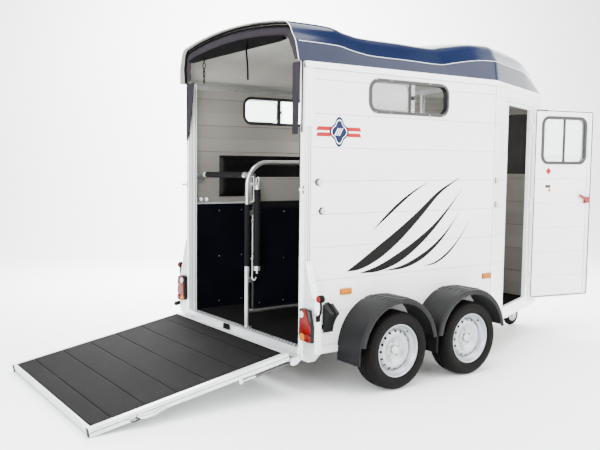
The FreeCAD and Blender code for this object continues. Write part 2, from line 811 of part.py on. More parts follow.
def make_ramp():
    face = -ramp_face_gap
    z0 = ramp_hinge_z + ramp_start
    z1 = z0 + ramp_length
    inner = ramp_half_width - ramp_rail_width
    back = face - ramp_thickness
    panel = box(face - ramp_mat - ramp_plank, face - ramp_mat, -inner, inner, z0 + 24, z1 - 24)
    save("ramp_panel", [laid_down(panel)])
    rail = box(back, face, -ramp_half_width, -inner, z0, z1)
    rail = rail.cut(box(back + 23, back + 29, -ramp_half_width - 1, -ramp_half_width + 3, z0 - 1, z1 + 1))
    end_low = box(back + 12, face, -inner, inner, z0, z0 + 24)
    end_high = box(back + 12, face, -inner, inner, z1 - 24, z1)
    lugs = []
    for y in (-ramp_lug_y, -300, 300, ramp_lug_y):
        lug = joined([
            side_prism([(back, z0 + 90), (back, z0), (ramp_hinge_x - 14, ramp_hinge_z),
                        (ramp_hinge_x + 14, ramp_hinge_z), (back + 14, z0), (back + 14, z0 + 90)],
                       y - ramp_lug_half, y + ramp_lug_half),
            rod(V(ramp_hinge_x, y - ramp_lug_half, ramp_hinge_z),
                V(ramp_hinge_x, y + ramp_lug_half, ramp_hinge_z), 15)])
        bore = rod(V(ramp_hinge_x, y - 9, ramp_hinge_z), V(ramp_hinge_x, y + 9, ramp_hinge_z),
                   hinge_pin_radius + running_gap)
        lugs.append(lug.cut(bore))
    brackets = []
    eye_x = ramp_hinge_x + strut_eye_offset
    eye_z = ramp_hinge_z + strut_eye_reach
    foot = box(eye_x - 8, back, -strut_y - 14, -strut_y - 8, eye_z - 14, eye_z + 14)
    stud = rod(V(eye_x, -strut_y - 8, eye_z), V(eye_x, -strut_y + 10, eye_z), strut_pin_radius)
    brackets = both_sides(joined([foot, stud]))
    ribs = [box(back + 12, face - ramp_mat - ramp_plank, -inner, inner, z, z + 30)
            for z in (z0 + 370, z0 + 740, z0 + 1110)]
    frame = joined(both_sides(rail) + [end_low, end_high] + lugs + brackets + ribs)
    save("ramp_frame", [laid_down(frame)])
    strips = []
    first = (ramp_length - (ramp_strip_count - 2) * ramp_strip_pitch) / 2
    edges = [z0 + 24] + [z0 + first + ramp_strip_pitch * i for i in range(ramp_strip_count - 1)] + [z1 - 24]
    for low, high in zip(edges[:-1], edges[1:]):
        strips.append(box(face - ramp_mat, face, -inner, inner, low + ramp_seam / 2, high - ramp_seam / 2))
    cap = box(back, face, -ramp_half_width, -inner + 6, z1, z1 + ramp_cap)
    save("ramp_rubber", [laid_down(shape) for shape in strips + both_sides(cap)])


def make_ramp_hinges():
    arm_y = ramp_half_width + moving_gap
    arm = side_prism([
        (0, post_bottom + 40),
        (ramp_hinge_x - 16, ramp_hinge_z + 14), (strut_foot_x - 14, strut_foot_z - 4),
        (strut_foot_x + 4, strut_foot_z - 14), (ramp_hinge_x + 30, ramp_hinge_z - 26), (0, post_bottom + 2)],
        -arm_y - hinge_arm_sheet, -arm_y)
    inner_y = ramp_lug_y + ramp_lug_half + moving_gap
    low = floor_top - threshold_height + 1
    inner_arm = side_prism([
        (0, low), (0, ramp_hinge_z + 14), (ramp_hinge_x - 12, ramp_hinge_z + 12),
        (ramp_hinge_x - 16, ramp_hinge_z), (ramp_hinge_x - 12, ramp_hinge_z - 12), (-20, low - 12)],
        -inner_y - hinge_arm_sheet, -inner_y)
    pin = rod(V(ramp_hinge_x, -inner_y - hinge_arm_sheet, ramp_hinge_z),
              V(ramp_hinge_x, -ramp_lug_y + ramp_lug_half + 5, ramp_hinge_z), hinge_pin_radius)
    stud = rod(V(strut_foot_x, -arm_y - 1, strut_foot_z), V(strut_foot_x, -strut_y + 10, strut_foot_z),
               strut_pin_radius)
    inner_arms = []
    for y in (-318, 282):
        plate = side_prism([
            (0, low), (0, ramp_hinge_z + 14), (ramp_hinge_x - 12, ramp_hinge_z + 12),
            (ramp_hinge_x - 16, ramp_hinge_z), (ramp_hinge_x - 12, ramp_hinge_z - 12),
            (-20, low - 12)], y - 4, y + 4)
        pin_in = rod(V(ramp_hinge_x, y - 4, ramp_hinge_z), V(ramp_hinge_x, y + 34, ramp_hinge_z),
                     hinge_pin_radius)
        inner_arms.append(joined([plate, pin_in]))
    save("ramp_hinge_arms", both_sides(joined([arm, stud])) + both_sides(joined([inner_arm, pin])) + inner_arms)


def strut_ends():
    """Foot and eye of a strut with the ramp down, in the plane of the sides."""
    slope = math.radians(ramp_slope)
    eye_x = ramp_hinge_x - strut_eye_reach * math.cos(slope) - strut_eye_offset * math.sin(slope)
    eye_z = ramp_hinge_z - strut_eye_reach * math.sin(slope) + strut_eye_offset * math.cos(slope)
    return V(strut_foot_x, -strut_y, strut_foot_z), V(eye_x, -strut_y, eye_z)


def make_struts():
    foot, eye = strut_ends()
    run = (eye - foot).normalize()
    across = V(0, 1, 0)
    foot_eye = rod(foot - across * 5, foot + across * 5, 9).cut(
        rod(foot - across * 6, foot + across * 6, strut_pin_radius + running_gap))
    tube = rod(foot + run * 12, foot + run * strut_tube_length, strut_tube_radius)
    bore = rod(foot + run * 30, foot + run * (strut_tube_length + 1), strut_rod_radius + running_gap)
    neck = rod(foot + run * 8, foot + run * 20, 6)
    tube_body = joined([tube.cut(bore), neck, foot_eye])
    tube_body = tube_body.cut(rod(foot - across * 6, foot + across * 6, strut_pin_radius + running_gap))
    save("strut_tubes", both_sides(tube_body))
    slack = strut_pin_radius + strut_eye_slack
    ring = rod(eye - across * 5, eye + across * 5, slack + 4)
    shaft = rod(foot + run * 120, eye - run * (slack + 1), strut_rod_radius)
    rod_body = ring.fuse(shaft).cut(rod(eye - across * 6, eye + across * 6, slack))
    save("strut_rods", both_sides(rod_body.removeSplitter()))


# Lamps

def make_lamps():
    inner = -body_half_width + 18
    outer = -board_outer_y + 5
    face = [(inner, lamp_bottom + 40), (inner - 20, lamp_bottom + 14), (outer + 56, lamp_bottom),
            (outer, lamp_bottom + 4), (outer, lamp_top - 120), (outer + 31, lamp_top - 4),
            (inner - 28, lamp_top), (inner - 4, lamp_top - 6)]
    lamp = rear_prism(face, -lamp_depth, 0)
    save("tail_lamps", both_sides(lamp))
    marker = [box(x, x + 104, -body_half_width - 14, -body_half_width, 700, 745) for x in (330, 1866)]
    arm = joined([
        box(10, 40, -board_outer_y - 10, -board_outer_y, 560, 600),
        rod(V(25, -board_outer_y - 10, 590), V(25, -board_outer_y - 29, 700), 8),
        rod(V(5, -board_outer_y - 29, 722), V(45, -board_outer_y - 29, 722), 26)])
    save("marker_lamps", [piece for lamp in marker + [arm] for piece in both_sides(lamp)])


def make_chocks():
    wall_side = -body_half_width - chock_stand_off
    wedge = side_prism([(150, 440), (155, 640), (180, 655), (300, 560), (262, 500), (250, 440)],
                       wall_side - chock_width, wall_side)
    holder = box(140, 262, wall_side, -body_half_width, 425, 600)
    save("wheel_chocks", both_sides(joined([wedge, holder])))


# Inside of the body

def make_inside():
    inner = wall_inner_y
    kick = box(post_depth, side_length - 60, -inner, -inner + 8, floor_top, 1290)
    save("kick_panels", both_sides(kick))
    pad = box(320, 1500, -inner, -inner + 40, 1352, 1728)
    save("side_pads", both_sides(pad))
    post = joined([
        rod(V(partition_pivot_x + 70, 0, floor_top), V(partition_pivot_x + 70, 0, wall_top), 25),
        box(partition_pivot_x + 30, partition_pivot_x + 110, -60, 60, floor_top, floor_top + 6)])
    pins = []
    for z in (520, 1560):
        pins.append(box(partition_pivot_x - 12, partition_pivot_x + 60, -12, 12, z, z + 10))
        pins.append(rod(V(partition_pivot_x, 0, z), V(partition_pivot_x, 0, z + 50), 9))
    bow = box(partition_pivot_x + 50, partition_pivot_x + 90, -inner, inner, wall_top, wall_top + 40)
    bow = bow.common(interior(wall_top, rail_top))
    save("front_post", [joined([post, bow] + pins)])
    bars = []
    for low, high in ((-inner, -25), (25, inner)):
        bar = rod(V(partition_pivot_x + 70, low, 1120), V(partition_pivot_x + 70, high, 1120), bar_radius)
        bars.append(bar.common(interior(1000, 1200)))
    save("breast_bars", bars)
    fittings = []
    for x in (86, 134, 182):
        hook = joined([box(x, x + 22, inner - 6, inner, 1306, 1340), box(x + 6, x + 16, inner - 34, inner - 6, 1306, 1314),
                       box(x + 6, x + 16, inner - 34, inner - 28, 1306, 1330)])
        fittings.append(hook)
    rest_z = left_bar_z - bar_tip_radius - moving_gap
    for side in (-1, 1):
        plate = box(bar_pivot_x - 40, bar_pivot_x + 50, side * inner - 4, side * inner + 4, rest_z - 60, rest_z + 24)
        shelf = box(bar_pivot_x - 30, bar_pivot_x + 40, side * (inner - 36) - 34, side * (inner - 36) + 34,
                    rest_z - 5, rest_z)
        fittings.append(joined([plate, shelf]).common(interior(1000, 2000).fuse(box(0, 200, -inner, inner, 1000, 2000))))
    save("wall_fittings", fittings)


def make_partition():
    centre = V(partition_pivot_x, 0, 0)

    def leaned(shape):
        return turned(shape, centre, V(0, 0, 1), partition_lean)

    r = partition_tube
    x0 = partition_rear_x
    x1 = partition_pivot_x - 60
    bend = partition_bend
    low = floor_top + 12
    path = Part.Wire([
        Part.makeLine(V(x0, 0, low), V(x0, 0, partition_top - bend)),
        Part.Arc(V(x0, 0, partition_top - bend),
                 V(x0 + bend * (1 - math.sqrt(0.5)), 0, partition_top - bend * (1 - math.sqrt(0.5))),
                 V(x0 + bend, 0, partition_top)).toShape(),
        Part.makeLine(V(x0 + bend, 0, partition_top), V(x1, 0, partition_top))])
    ring = Part.Wire(Part.makeCircle(r, V(x0, 0, low), V(0, 0, 1)))
    tube = path.makePipeShell([ring], True, False)
    rear_foot = box(x0 - 30, x0 + 40, -30, 30, low - 6, low)
    lower = rod(V(x0, 0, partition_panel_bottom), V(x1, 0, partition_panel_bottom), 18)
    front = rod(V(x1, 0, partition_panel_bottom - 30), V(x1, 0, partition_top), r)
    eyes = []
    for z in (520, 1560):
        eye = joined([
            rod(V(partition_pivot_x, 0, z + 14), V(partition_pivot_x, 0, z + 44), 17),
            box(x1, partition_pivot_x - 10, -8, 8, z + 14, z + 44)])
        eyes.append(eye.cut(rod(V(partition_pivot_x, 0, z), V(partition_pivot_x, 0, z + 60), 9 + running_gap)))
    panel = box(x0 + r + 45, x1 - r - 1, -9, 9, partition_panel_bottom + 19, partition_panel_top)
    save("partition_panel", [leaned(panel)])
    tabs = [box(x0 + r - 4, x0 + r + 46, -9, 9, z, z + 40) for z in (700, 1240)]
    arm = box(x0 + r - 4, bar_pivot_x - bar_ear_gap, -9, 9, 1320, left_bar_z + 20)
    ears = bar_ears(left_bar_y, left_bar_z) + bar_ears(right_bar_y, right_bar_z)
    frame = joined([tube, rear_foot, lower, front, arm] + [tab.cut(panel) for tab in tabs] + eyes + ears)
    save("partition_frame", [leaned(frame)])


def bar_ears(y, z):
    """Two ears and the pin that carry the inner end of a stall bar."""
    side = 1 if y > 0 else -1
    low, high = sorted((side * 5, y + side * 12))
    first = box(bar_pivot_x - bar_ear_gap - 5, bar_pivot_x - bar_ear_gap, low, high, z - 12, z + 12)
    second = box(bar_pivot_x + bar_ear_gap, bar_pivot_x + bar_ear_gap + 5, low, high, z - 12, z + 12)
    bridge = box(bar_pivot_x - bar_ear_gap - 5, bar_pivot_x + bar_ear_gap + 5, -9, 9, z - 12, z + 12)
    pin = rod(V(bar_pivot_x - bar_ear_gap - 5, y, z), V(bar_pivot_x + bar_ear_gap + 5, y, z), bar_pin_radius)
    return [first, second, bridge, pin]


def make_bars():
    """Left bar across the stall and right bar hanging, both hinged on the partition."""
    centre = V(partition_pivot_x, 0, 0)

    def leaned(shape):
        return turned(shape, centre, V(0, 0, 1), partition_lean)

    x = bar_pivot_x
    half = bar_ear_gap - 3
    eye = rod(V(x - half, left_bar_y, left_bar_z), V(x + half, left_bar_y, left_bar_z), 11)
    bore = rod(V(x - half - 1, left_bar_y, left_bar_z), V(x + half + 1, left_bar_y, left_bar_z),
               bar_pin_radius + running_gap)
    neck = rod(V(x, left_bar_y, left_bar_z), V(x, left_bar_y + 50, left_bar_z), 9)
    sleeve = rod(V(x, left_bar_y + 45, left_bar_z), V(x, left_bar_y + bar_length, left_bar_z), bar_radius)
    tip = rod(V(x, left_bar_y + bar_length, left_bar_z), V(x, left_bar_y + bar_length + 22, left_bar_z), bar_tip_radius)
    left = joined([eye, neck, sleeve, tip]).cut(bore)
    save("rear_bar_left", [leaned(left)])
    start = V(x, right_bar_y, right_bar_z)
    reach = bar_length - right_bar_short
    eye = rod(start - V(half, 0, 0), start + V(half, 0, 0), 11)
    bore = rod(start - V(half + 1, 0, 0), start + V(half + 1, 0, 0), bar_pin_radius + running_gap)
    neck = rod(start, start - V(0, 0, 50), 9)
    sleeve = rod(start - V(0, 0, 45), start - V(0, 0, reach), bar_radius)
    tip = rod(start - V(0, 0, reach), start - V(0, 0, reach + 22), bar_tip_radius)
    right = joined([eye, neck, sleeve, tip]).cut(bore)
    save("rear_bar_right", [leaned(right)])


def make_jockey():
    x, y = jockey_x, jockey_y
    tube = pipe(V(x, y, 300), V(x, y, 720), jockey_tube_radius, 21.5)
    crank = joined([
        rod(V(x, y, 720), V(x, y, 742), 22),
        rod(V(x, y, 742), V(x, y, 760), 7),
        rod(V(x, y, 755), V(x + 90, y, 755), 6),
        rod(V(x + 90, y, 755), V(x + 90, y, 830), 11)])
    save("jockey_tube", [joined([tube, crank, make_clamp(x, y)])])
    stem = rod(V(x, y, 236), V(x, y, 700), 21)
    crown = box(x - 60, x + 26, y - 40, y + 40, 226, 238)
    cheeks = []
    for side in (-1, 1):
        y0 = y + side * 34 - 3
        cheeks.append(side_prism([
            (x - 60, 236), (x + 10, 236), (x - jockey_trail + 16, 92), (x - jockey_trail - 16, 92)], y0, y0 + 6))
    axle = rod(V(x - jockey_trail, y - 42, jockey_radius), V(x - jockey_trail, y + 42, jockey_radius), 8)
    save("jockey_fork", [joined([stem, crown] + cheeks + [axle])])
    centre = V(x - jockey_trail, y, jockey_radius)
    half = jockey_width / 2
    tyre = rod(centre - V(0, half, 0), centre + V(0, half, 0), jockey_radius)
    tyre = tyre.makeFillet(14, [e for e in tyre.Edges if e.Closed])
    hub = rod(centre - V(0, half + 2, 0), centre + V(0, half + 2, 0), 58)
    bore = rod(centre - V(0, 60, 0), centre + V(0, 60, 0), 8 + running_gap)
    save("jockey_tyre", [tyre.cut(rod(centre - V(0, 60, 0), centre + V(0, 60, 0), 58))])
    save("jockey_hub", [hub.cut(bore)])


def make_clamp(x, y):
    """Clamp on a plate across the two drawbar beams, with a foot down on each."""
    z = clamp_height
    plate = box(x - 60, x + 60, -190, 190, z, z + 8)
    foot = box(x - 60, x + 60, -188, -128, z - 50, z)
    for beam in both_sides(chassis_beam()):
        plate = plate.cut(beam)
    feet = both_sides(foot.cut(chassis_beam()).cut(box(x - 70, x + 70, -300, 300, 0, z - 24)))
    clamp = joined([plate] + feet + [rod(V(x, y, z - 30), V(x, y, z + 70), 34)])
    return clamp.cut(rod(V(x, y, z - 40), V(x, y, z + 80), jockey_tube_radius))


# Rear tarpaulin, rolled under the roof, with its two side gussets

def band_x(z):
    """Where the front face of the leaning band of cloth is, at a height."""
    return -band_gap - band_lean * (z - rail_top)


def make_tarpaulin():
    """Band of cloth under the rear of the roof, the curtain rolled up level on it and the side gussets."""
    gusset = rear_prism([
        (-gusset_outer, 2345), (-gusset_outer, 2440), (-700, gusset_top), (-650, gusset_top),
        (-707, 2359), (-744, 2098), (-801, gusset_foot), (-gusset_outer, gusset_foot)],
        -soft_gap - gusset_depth, -soft_gap)
    rows = [roof_section(*row, roof_sheet + soft_gap, rail_top - 30) for row in inner_roof_rows()[:2]]
    under_roof = Part.makeLoft(rows, True, True)
    slab = side_prism([
        (band_x(z) - shift, z) for z, shift in (
            (rail_top + soft_gap, 0), (2800, 0), (2800, band_thickness), (rail_top + soft_gap, band_thickness))],
        -900, 900)
    band = under_roof.common(slab).cut(box(-200, 100, -roll_half, roll_half, 2200, roll_z))
    roll_x = band_x(roll_z) - band_thickness
    roll = rod(V(roll_x, -roll_half, roll_z), V(roll_x, roll_half, roll_z), roll_radius)
    save("tarpaulin", [joined([band, roll])] + both_sides(gusset))


make_body()
make_rear_frame()
make_roof()
make_windows()
make_door()
make_door_frame()
make_chassis()
make_coupling()
make_axles()
for side_name in ("right", "left"):
    for axle_x in (rear_axle_x, rear_axle_x + axle_spacing):
        make_wheel(axle_x, side_name)
make_mudguards()
make_ramp()
make_ramp_hinges()
make_struts()
make_lamps()
make_chocks()
make_inside()
make_partition()
make_bars()
make_jockey()
make_tarpaulin()
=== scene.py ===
import logging
import math
from dataclasses import dataclass, field, replace
from enum import Enum
from typing import Callable, Sequence

import bmesh
import bpy
from mathutils import Matrix, Vector


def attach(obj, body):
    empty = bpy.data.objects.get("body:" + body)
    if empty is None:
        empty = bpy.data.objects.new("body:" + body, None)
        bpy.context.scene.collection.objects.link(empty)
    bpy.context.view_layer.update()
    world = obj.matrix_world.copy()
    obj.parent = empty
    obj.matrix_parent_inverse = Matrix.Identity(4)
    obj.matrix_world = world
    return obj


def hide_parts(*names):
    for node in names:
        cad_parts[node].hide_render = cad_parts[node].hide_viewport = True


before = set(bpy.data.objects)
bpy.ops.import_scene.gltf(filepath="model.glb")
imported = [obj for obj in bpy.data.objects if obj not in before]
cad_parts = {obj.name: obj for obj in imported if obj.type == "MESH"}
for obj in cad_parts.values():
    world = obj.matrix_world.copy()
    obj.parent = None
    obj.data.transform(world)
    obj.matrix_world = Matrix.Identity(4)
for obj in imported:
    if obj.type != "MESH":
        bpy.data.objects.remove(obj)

LOG = logging.getLogger("horse_trailer")
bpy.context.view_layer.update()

# The scene is drawn in millimetres from the rear face of the rear posts, X forward, Y left, Z up,
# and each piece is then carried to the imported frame, whose origin is at the middle of the trailer.
MIDDLE_X = 1411.932
BODY_HALF = 870.0
WALL = 28.0
INNER_Y = BODY_HALF - WALL
FLOOR_TOP = 335.0
WALL_TOP = 2305.0
RAIL_TOP = 2348.0
SIDE_LENGTH = 1980.0
NOSE_LENGTH = 1310.0
NOSE_ANGLE = math.radians(21.3)
POST_DEPTH = 66.0
PLANK_PITCH = 235.0
FIRST_SEAM = 350.0
AXLES_X = (698.0, 1468.0)
WHEEL_RADIUS = 290.0
LAMP_BOARD_OUTER = 1001.0
CATCH_Z = 1466.0

Colour = tuple[float, float, float, float]
Pairs = Sequence[tuple[float, float]]
Points = Sequence[Vector]
Ends = Callable[[float], tuple[Vector, Vector]]


def linear(code: str) -> Colour:
    """Turn an sRGB hex colour into the linear one that a shader takes.

    Args:
        code: six hex digits after a hash sign.

    Returns:
        Red, green, blue and a full alpha.
    """
    parts = [int(code[i:i + 2], 16) / 255 for i in (1, 3, 5)]
    made = [c / 12.92 if c <= 0.04045 else ((c + 0.055) / 1.055) ** 2.4 for c in parts]
    return (made[0], made[1], made[2], 1.0)


def add_node(tree: bpy.types.NodeTree, kind: str, settings: dict | None = None,
             output: int | str = 0) -> bpy.types.NodeSocket:
    """Add one node to a material.

    Args:
        tree: the material's nodes.
        kind: the node's type, without the word in front that all of them share.
        settings: its own settings, and a value or a source for each of its sockets.
        output: which of its outputs is wanted.

    Returns:
        That output.
    """
    node = tree.nodes.new("ShaderNode" + kind)
    for key, value in (settings or {}).items():
        if isinstance(value, bpy.types.NodeSocket):
            tree.links.new(value, node.inputs[key])
        elif isinstance(key, str) and key not in node.inputs and hasattr(node, key):
            setattr(node, key, value)
        else:
            node.inputs[key].default_value = value
    return node.outputs[output]


class Surface(Enum):
    """How a finish's fine relief is laid out."""

    GRAIN = "cloudy grain"
    PEBBLE = "small cells with soft edges"
    SPANGLE = "flat crystals of differing tone"
    BRUSHED = "lines along X"
    WEAVE = "threads both ways"
    RIBBED = "fine lens ribs"


@dataclass(frozen=True)
class Finish:
    """What a surface is made of; sizes in millimetres, colours in sRGB hex."""

    name: str
    slot: str
    colour: str
    tone: str
    surface: Surface = Surface.GRAIN
    patch: float = 300.0
    grain: float = 1.5
    depth: float = 0.02
    metallic: float = 0.0
    roughness: float = 0.5
    spread: float = 0.08
    coat: float = 0.0
    transmission: float = 0.0
    ior: float = 1.5
    dust: float = 0.0
    dust_colour: str = "#b9b4aa"
    alpha: float = 1.0

    def material(self) -> bpy.types.Material:
        """Build the material once and give it back each time.

        Returns:
            The material.
        """
        found = bpy.data.materials.get(self.name)
        if found is not None:
            return found
        made = bpy.data.materials.new(self.name)
        made.use_nodes = True
        tree = made.node_tree
        shader = tree.nodes["Principled BSDF"]
        for key, value in (("Metallic", self.metallic), ("Coat Weight", self.coat), ("Coat Roughness", 0.04),
                           ("Transmission Weight", self.transmission), ("Alpha", self.alpha)):
            shader.inputs[key].default_value = value
        if self.metallic < 0.5:
            shader.inputs["IOR"].default_value = self.ior
        place = add_node(tree, "TexCoord", output="Object")
        patches = add_node(tree, "TexNoise", {"Scale": 1000 / self.patch, "Detail": 5.0, "Vector": place})
        height = self.relief(tree, place)
        low, high = max(0.02, self.roughness - self.spread), self.roughness + self.spread
        rough = add_node(tree, "MapRange", {"To Min": low, "To Max": high, "Value": patches})
        bump = add_node(tree, "Bump", {"Strength": 1.0, "Distance": self.depth / 1000, "Height": height})
        colour = self.tint(tree, place, patches, height)
        for key, source in (("Base Color", colour), ("Roughness", rough), ("Normal", bump)):
            tree.links.new(source, shader.inputs[key])
        return made

    def relief(self, tree: bpy.types.NodeTree, place: bpy.types.NodeSocket) -> bpy.types.NodeSocket:
        """Lay out the fine relief.

        Args:
            tree: the material's nodes.
            place: the point on the surface.

        Returns:
            A height from 0 to 1.
        """
        scale = 1000 / self.grain
        if self.surface in (Surface.PEBBLE, Surface.SPANGLE):
            cells = {"Scale": scale, "Randomness": 0.9, "Vector": place}
            if self.surface is Surface.PEBBLE:
                return add_node(tree, "TexVoronoi", cells, "Distance")
            return add_node(tree, "SeparateColor", {"Color": add_node(tree, "TexVoronoi", cells, "Color")})
        if self.surface is Surface.BRUSHED:
            drawn = add_node(tree, "Mapping", {"Scale": (0.012, 1.0, 1.0), "Vector": place})
            return add_node(tree, "TexNoise", {"Scale": scale, "Detail": 3.0, "Vector": drawn})
        if self.surface in (Surface.WEAVE, Surface.RIBBED):
            across, up = (add_node(tree, "TexWave", {"bands_direction": way, "Scale": scale / 6.3,
                                                     "Vector": place}, "Fac") for way in "YZ")
            if self.surface is Surface.RIBBED:
                return across
            return add_node(tree, "Math", {"operation": "MAXIMUM", 0: across, 1: up})
        return add_node(tree, "TexNoise", {"Scale": scale, "Detail": 4.0, "Roughness": 0.6, "Vector": place})

    def mixed(self, tree: bpy.types.NodeTree, share: bpy.types.NodeSocket) -> bpy.types.NodeSocket:
        """The colour and the tone mixed by a share from 0 to 1."""
        return add_node(tree, "Mix", {"data_type": "RGBA", 6: linear(self.colour), 7: linear(self.tone),
                                      0: share}, 2)

    def tint(self, tree: bpy.types.NodeTree, place: bpy.types.NodeSocket, patches: bpy.types.NodeSocket,
             height: bpy.types.NodeSocket) -> bpy.types.NodeSocket:
        """Vary the colour in broad patches, with the relief, and with dust where there is any.

        Args:
            tree: the material's nodes.
            place: the point on the surface.
            patches: broad patches from 0 to 1.
            height: the relief from 0 to 1.

        Returns:
            The colour.
        """
        share = height if self.surface is Surface.SPANGLE else patches
        spread = add_node(tree, "MapRange", {"From Min": 0.3, "From Max": 0.7, "Value": share})
        clean = self.mixed(tree, spread)
        if self.dust == 0.0:
            return clean
        specks = add_node(tree, "TexNoise", {"Scale": 1000 / (self.patch * 0.13), "Detail": 8.0,
                                             "Roughness": 0.7, "Vector": place})
        share = add_node(tree, "MapRange", {"From Min": 0.52, "From Max": 0.8, "To Max": self.dust,
                                            "Value": specks})
        return add_node(tree, "Mix", {"data_type": "RGBA", 7: linear(self.dust_colour), 0: share, 6: clean},
                        2)


@dataclass(frozen=True)
class PlankFinish(Finish):
    """A finish whose tone steps from one extruded plank to the next, with dirt in their joints."""

    step: float = 0.5
    joint: float = 0.6

    def tint(self, tree: bpy.types.NodeTree, place: bpy.types.NodeSocket, patches: bpy.types.NodeSocket,
             height: bpy.types.NodeSocket) -> bpy.types.NodeSocket:
        """Give each plank its own tone, from its number up the wall, and darken the joints.

        Args:
            tree: the material's nodes.
            place: the point on the surface.
            patches: broad patches from 0 to 1.
            height: the relief from 0 to 1.

        Returns:
            The colour.
        """
        up = add_node(tree, "SeparateXYZ", {"Vector": place}, "Z")
        count = add_node(tree, "Math", {"operation": "MULTIPLY_ADD", 1: 2000 / PLANK_PITCH,
                                        2: -2 * FIRST_SEAM / PLANK_PITCH, 0: up})
        number = add_node(tree, "Math", {"operation": "FLOOR", 0: count})
        each = add_node(tree, "TexWhiteNoise", {"noise_dimensions": "1D", "W": number}, "Value")
        toned = self.mixed(tree, add_node(tree, "Mix", {0: self.step, 2: patches, 3: each}))
        lines = add_node(tree, "MapRange", {"From Min": 0.3, "From Max": 0.7, "To Min": 0.93, "To Max": 1.0,
                                            "Value": height})
        away = add_node(tree, "Math", {"operation": "PINGPONG", 1: 1.0, 0: count})
        dirt = add_node(tree, "MapRange", {"From Min": 0.008, "From Max": 0.03, "To Min": self.joint,
                                           "Value": away})
        share = add_node(tree, "Math", {"operation": "MULTIPLY", 0: lines, 1: dirt})
        return add_node(tree, "VectorMath", {"operation": "SCALE", 0: toned, "Scale": share})


# White coated aluminium plank: extruded, then powder coated, so it is smooth, satin and even
# with an orange peel about 3 mm across.
PLANK_WHITE = PlankFinish("powder_coated_plank", "white_plank", "#f4f6f4", "#eceeed", grain=3.0, depth=0.012,
                          roughness=0.3, spread=0.05, coat=0.25, step=0.35)
# The same plank bare on the inside: mill-finished aluminium, drawn lines along its length and a dull grey.
PLANK_BARE = PlankFinish("mill_finish_plank", "white_plank", "#a19d96", "#87847d", Surface.BRUSHED, grain=2.2,
                         depth=0.02, metallic=0.4, roughness=0.38, spread=0.06, step=0.45)
# Glass-fibre roof: sprayed gel coat polished off the mould, deep navy under a clear gloss,
# with the faint print of the fibre mat, drawn 14 mm coarse so that it shows in reflections.
GELCOAT = Finish("sprayed_gelcoat", "navy_gelcoat", "#07112b", "#091633", grain=14.0, depth=0.02,
                 roughness=0.17, spread=0.04, coat=0.08, patch=500, ior=1.24)
# Inside of that moulding: topcoat rolled over glass mat, pale grey and a little lumpy.
ROOF_LINING = Finish("rolled_topcoat", "navy_gelcoat", "#b7b4ac", "#a5a29b", Surface.PEBBLE, grain=9.0,
                     depth=0.25, roughness=0.62)
# Hot-dip galvanised steel: zinc frozen in crystals about 14 mm across, each its own grey.
GALVANISED = Finish("hot_dip_galvanised", "galvanised_steel", "#dde0e1", "#cacfd1", Surface.SPANGLE,
                    grain=14.0, depth=0.01, metallic=0.55, roughness=0.36, spread=0.1)
# Rear posts and door rims: aluminium, satin anodised, bright and even with drawing lines too fine to
# show, drawn 2 mm coarse.
ANODISED = Finish("satin_anodised_aluminium", "anodised_aluminium", "#e6e8e9", "#d9dcde", Surface.BRUSHED,
                  grain=2.0, depth=0.01, metallic=0.5, roughness=0.32, spread=0.05)
# White powder coated trim of the body: corner strips and rails. The thin bead along the roof's creases takes
# it too, as a painted highlight.
TRIM_WHITE = Finish("powder_coated_trim", "anodised_aluminium", "#f5f6f5", "#eceeee", grain=3.0, depth=0.01,
                    roughness=0.28, spread=0.04, coat=0.3)
# Ramp frame: extruded aluminium left bare, walked on, a little scuffed.
RAMP_METAL = Finish("extruded_aluminium", "anodised_aluminium", "#e2e4e5", "#ced1d3", Surface.BRUSHED,
                    grain=2.0, depth=0.02, metallic=0.5, roughness=0.36, spread=0.12, dust=0.12,
                    dust_colour="#8f8d88")
# Ramp and floor covering: calendered rubber, matt charcoal, greyed by dust and hooves.
FLOOR_RUBBER = Finish("calendered_rubber", "floor_rubber", "#080707", "#0b0a0a", grain=1.8, depth=0.12,
                      roughness=0.8, spread=0.06, dust=0.07, dust_colour="#4a4744", patch=420, ior=1.18)
# Tyre: moulded carbon rubber, brown-black, duller on the tread than on the wall.
TYRE_RUBBER = Finish("moulded_tyre_rubber", "tyre_rubber", "#070606", "#0b0a09", grain=1.2, depth=0.06,
                     roughness=0.66, spread=0.1, dust=0.03, dust_colour="#4a443e", patch=160, ior=1.18)
# Foam sleeve on the bars: closed-cell rubber skin, soft matt black.
FOAM = Finish("closed_cell_foam", "foam_rubber", "#0d0c0e", "#121113", Surface.PEBBLE, grain=1.6, depth=0.06,
              roughness=0.85, ior=1.2)
# Gaiter, seals, joints and lamp arms: moulded rubber straight from the tool, matt black. It also gives the
# painted shade in the ramp rails' grooves.
BELLOWS = Finish("bellows_rubber", "soft_rubber", "#050505", "#090909", grain=1.4, depth=0.04, roughness=0.7,
                 ior=1.18)
# Mudguards, chocks and lamp backs: injection moulded polypropylene with an etched grain about 1 mm wide.
MOULDED_BLACK = Finish("grained_polypropylene", "black_plastic", "#08080a", "#0c0c0e", Surface.PEBBLE,
                       grain=1.3, depth=0.05, roughness=0.5, spread=0.07, ior=1.28)
# Window frames: smooth injection moulded ABS, dark grey outside and black inside.
WINDOW_GREY = Finish("moulded_abs_grey", "black_plastic", "#333235", "#3a393c", grain=1.2, depth=0.02,
                     roughness=0.46, ior=1.3)
WINDOW_BLACK = replace(WINDOW_GREY, name="moulded_abs_black", colour="#08080a", tone="#0e0e10", roughness=0.4,
                       ior=1.5)
# Lining and partition boards: birch plywood under a pressed phenol film, blue-black with a faint mesh.
FILM_BOARD = Finish("film_faced_plywood", "black_panel", "#05060b", "#090b12", Surface.WEAVE, grain=2.5,
                    depth=0.03, roughness=0.36, spread=0.07, ior=1.22)
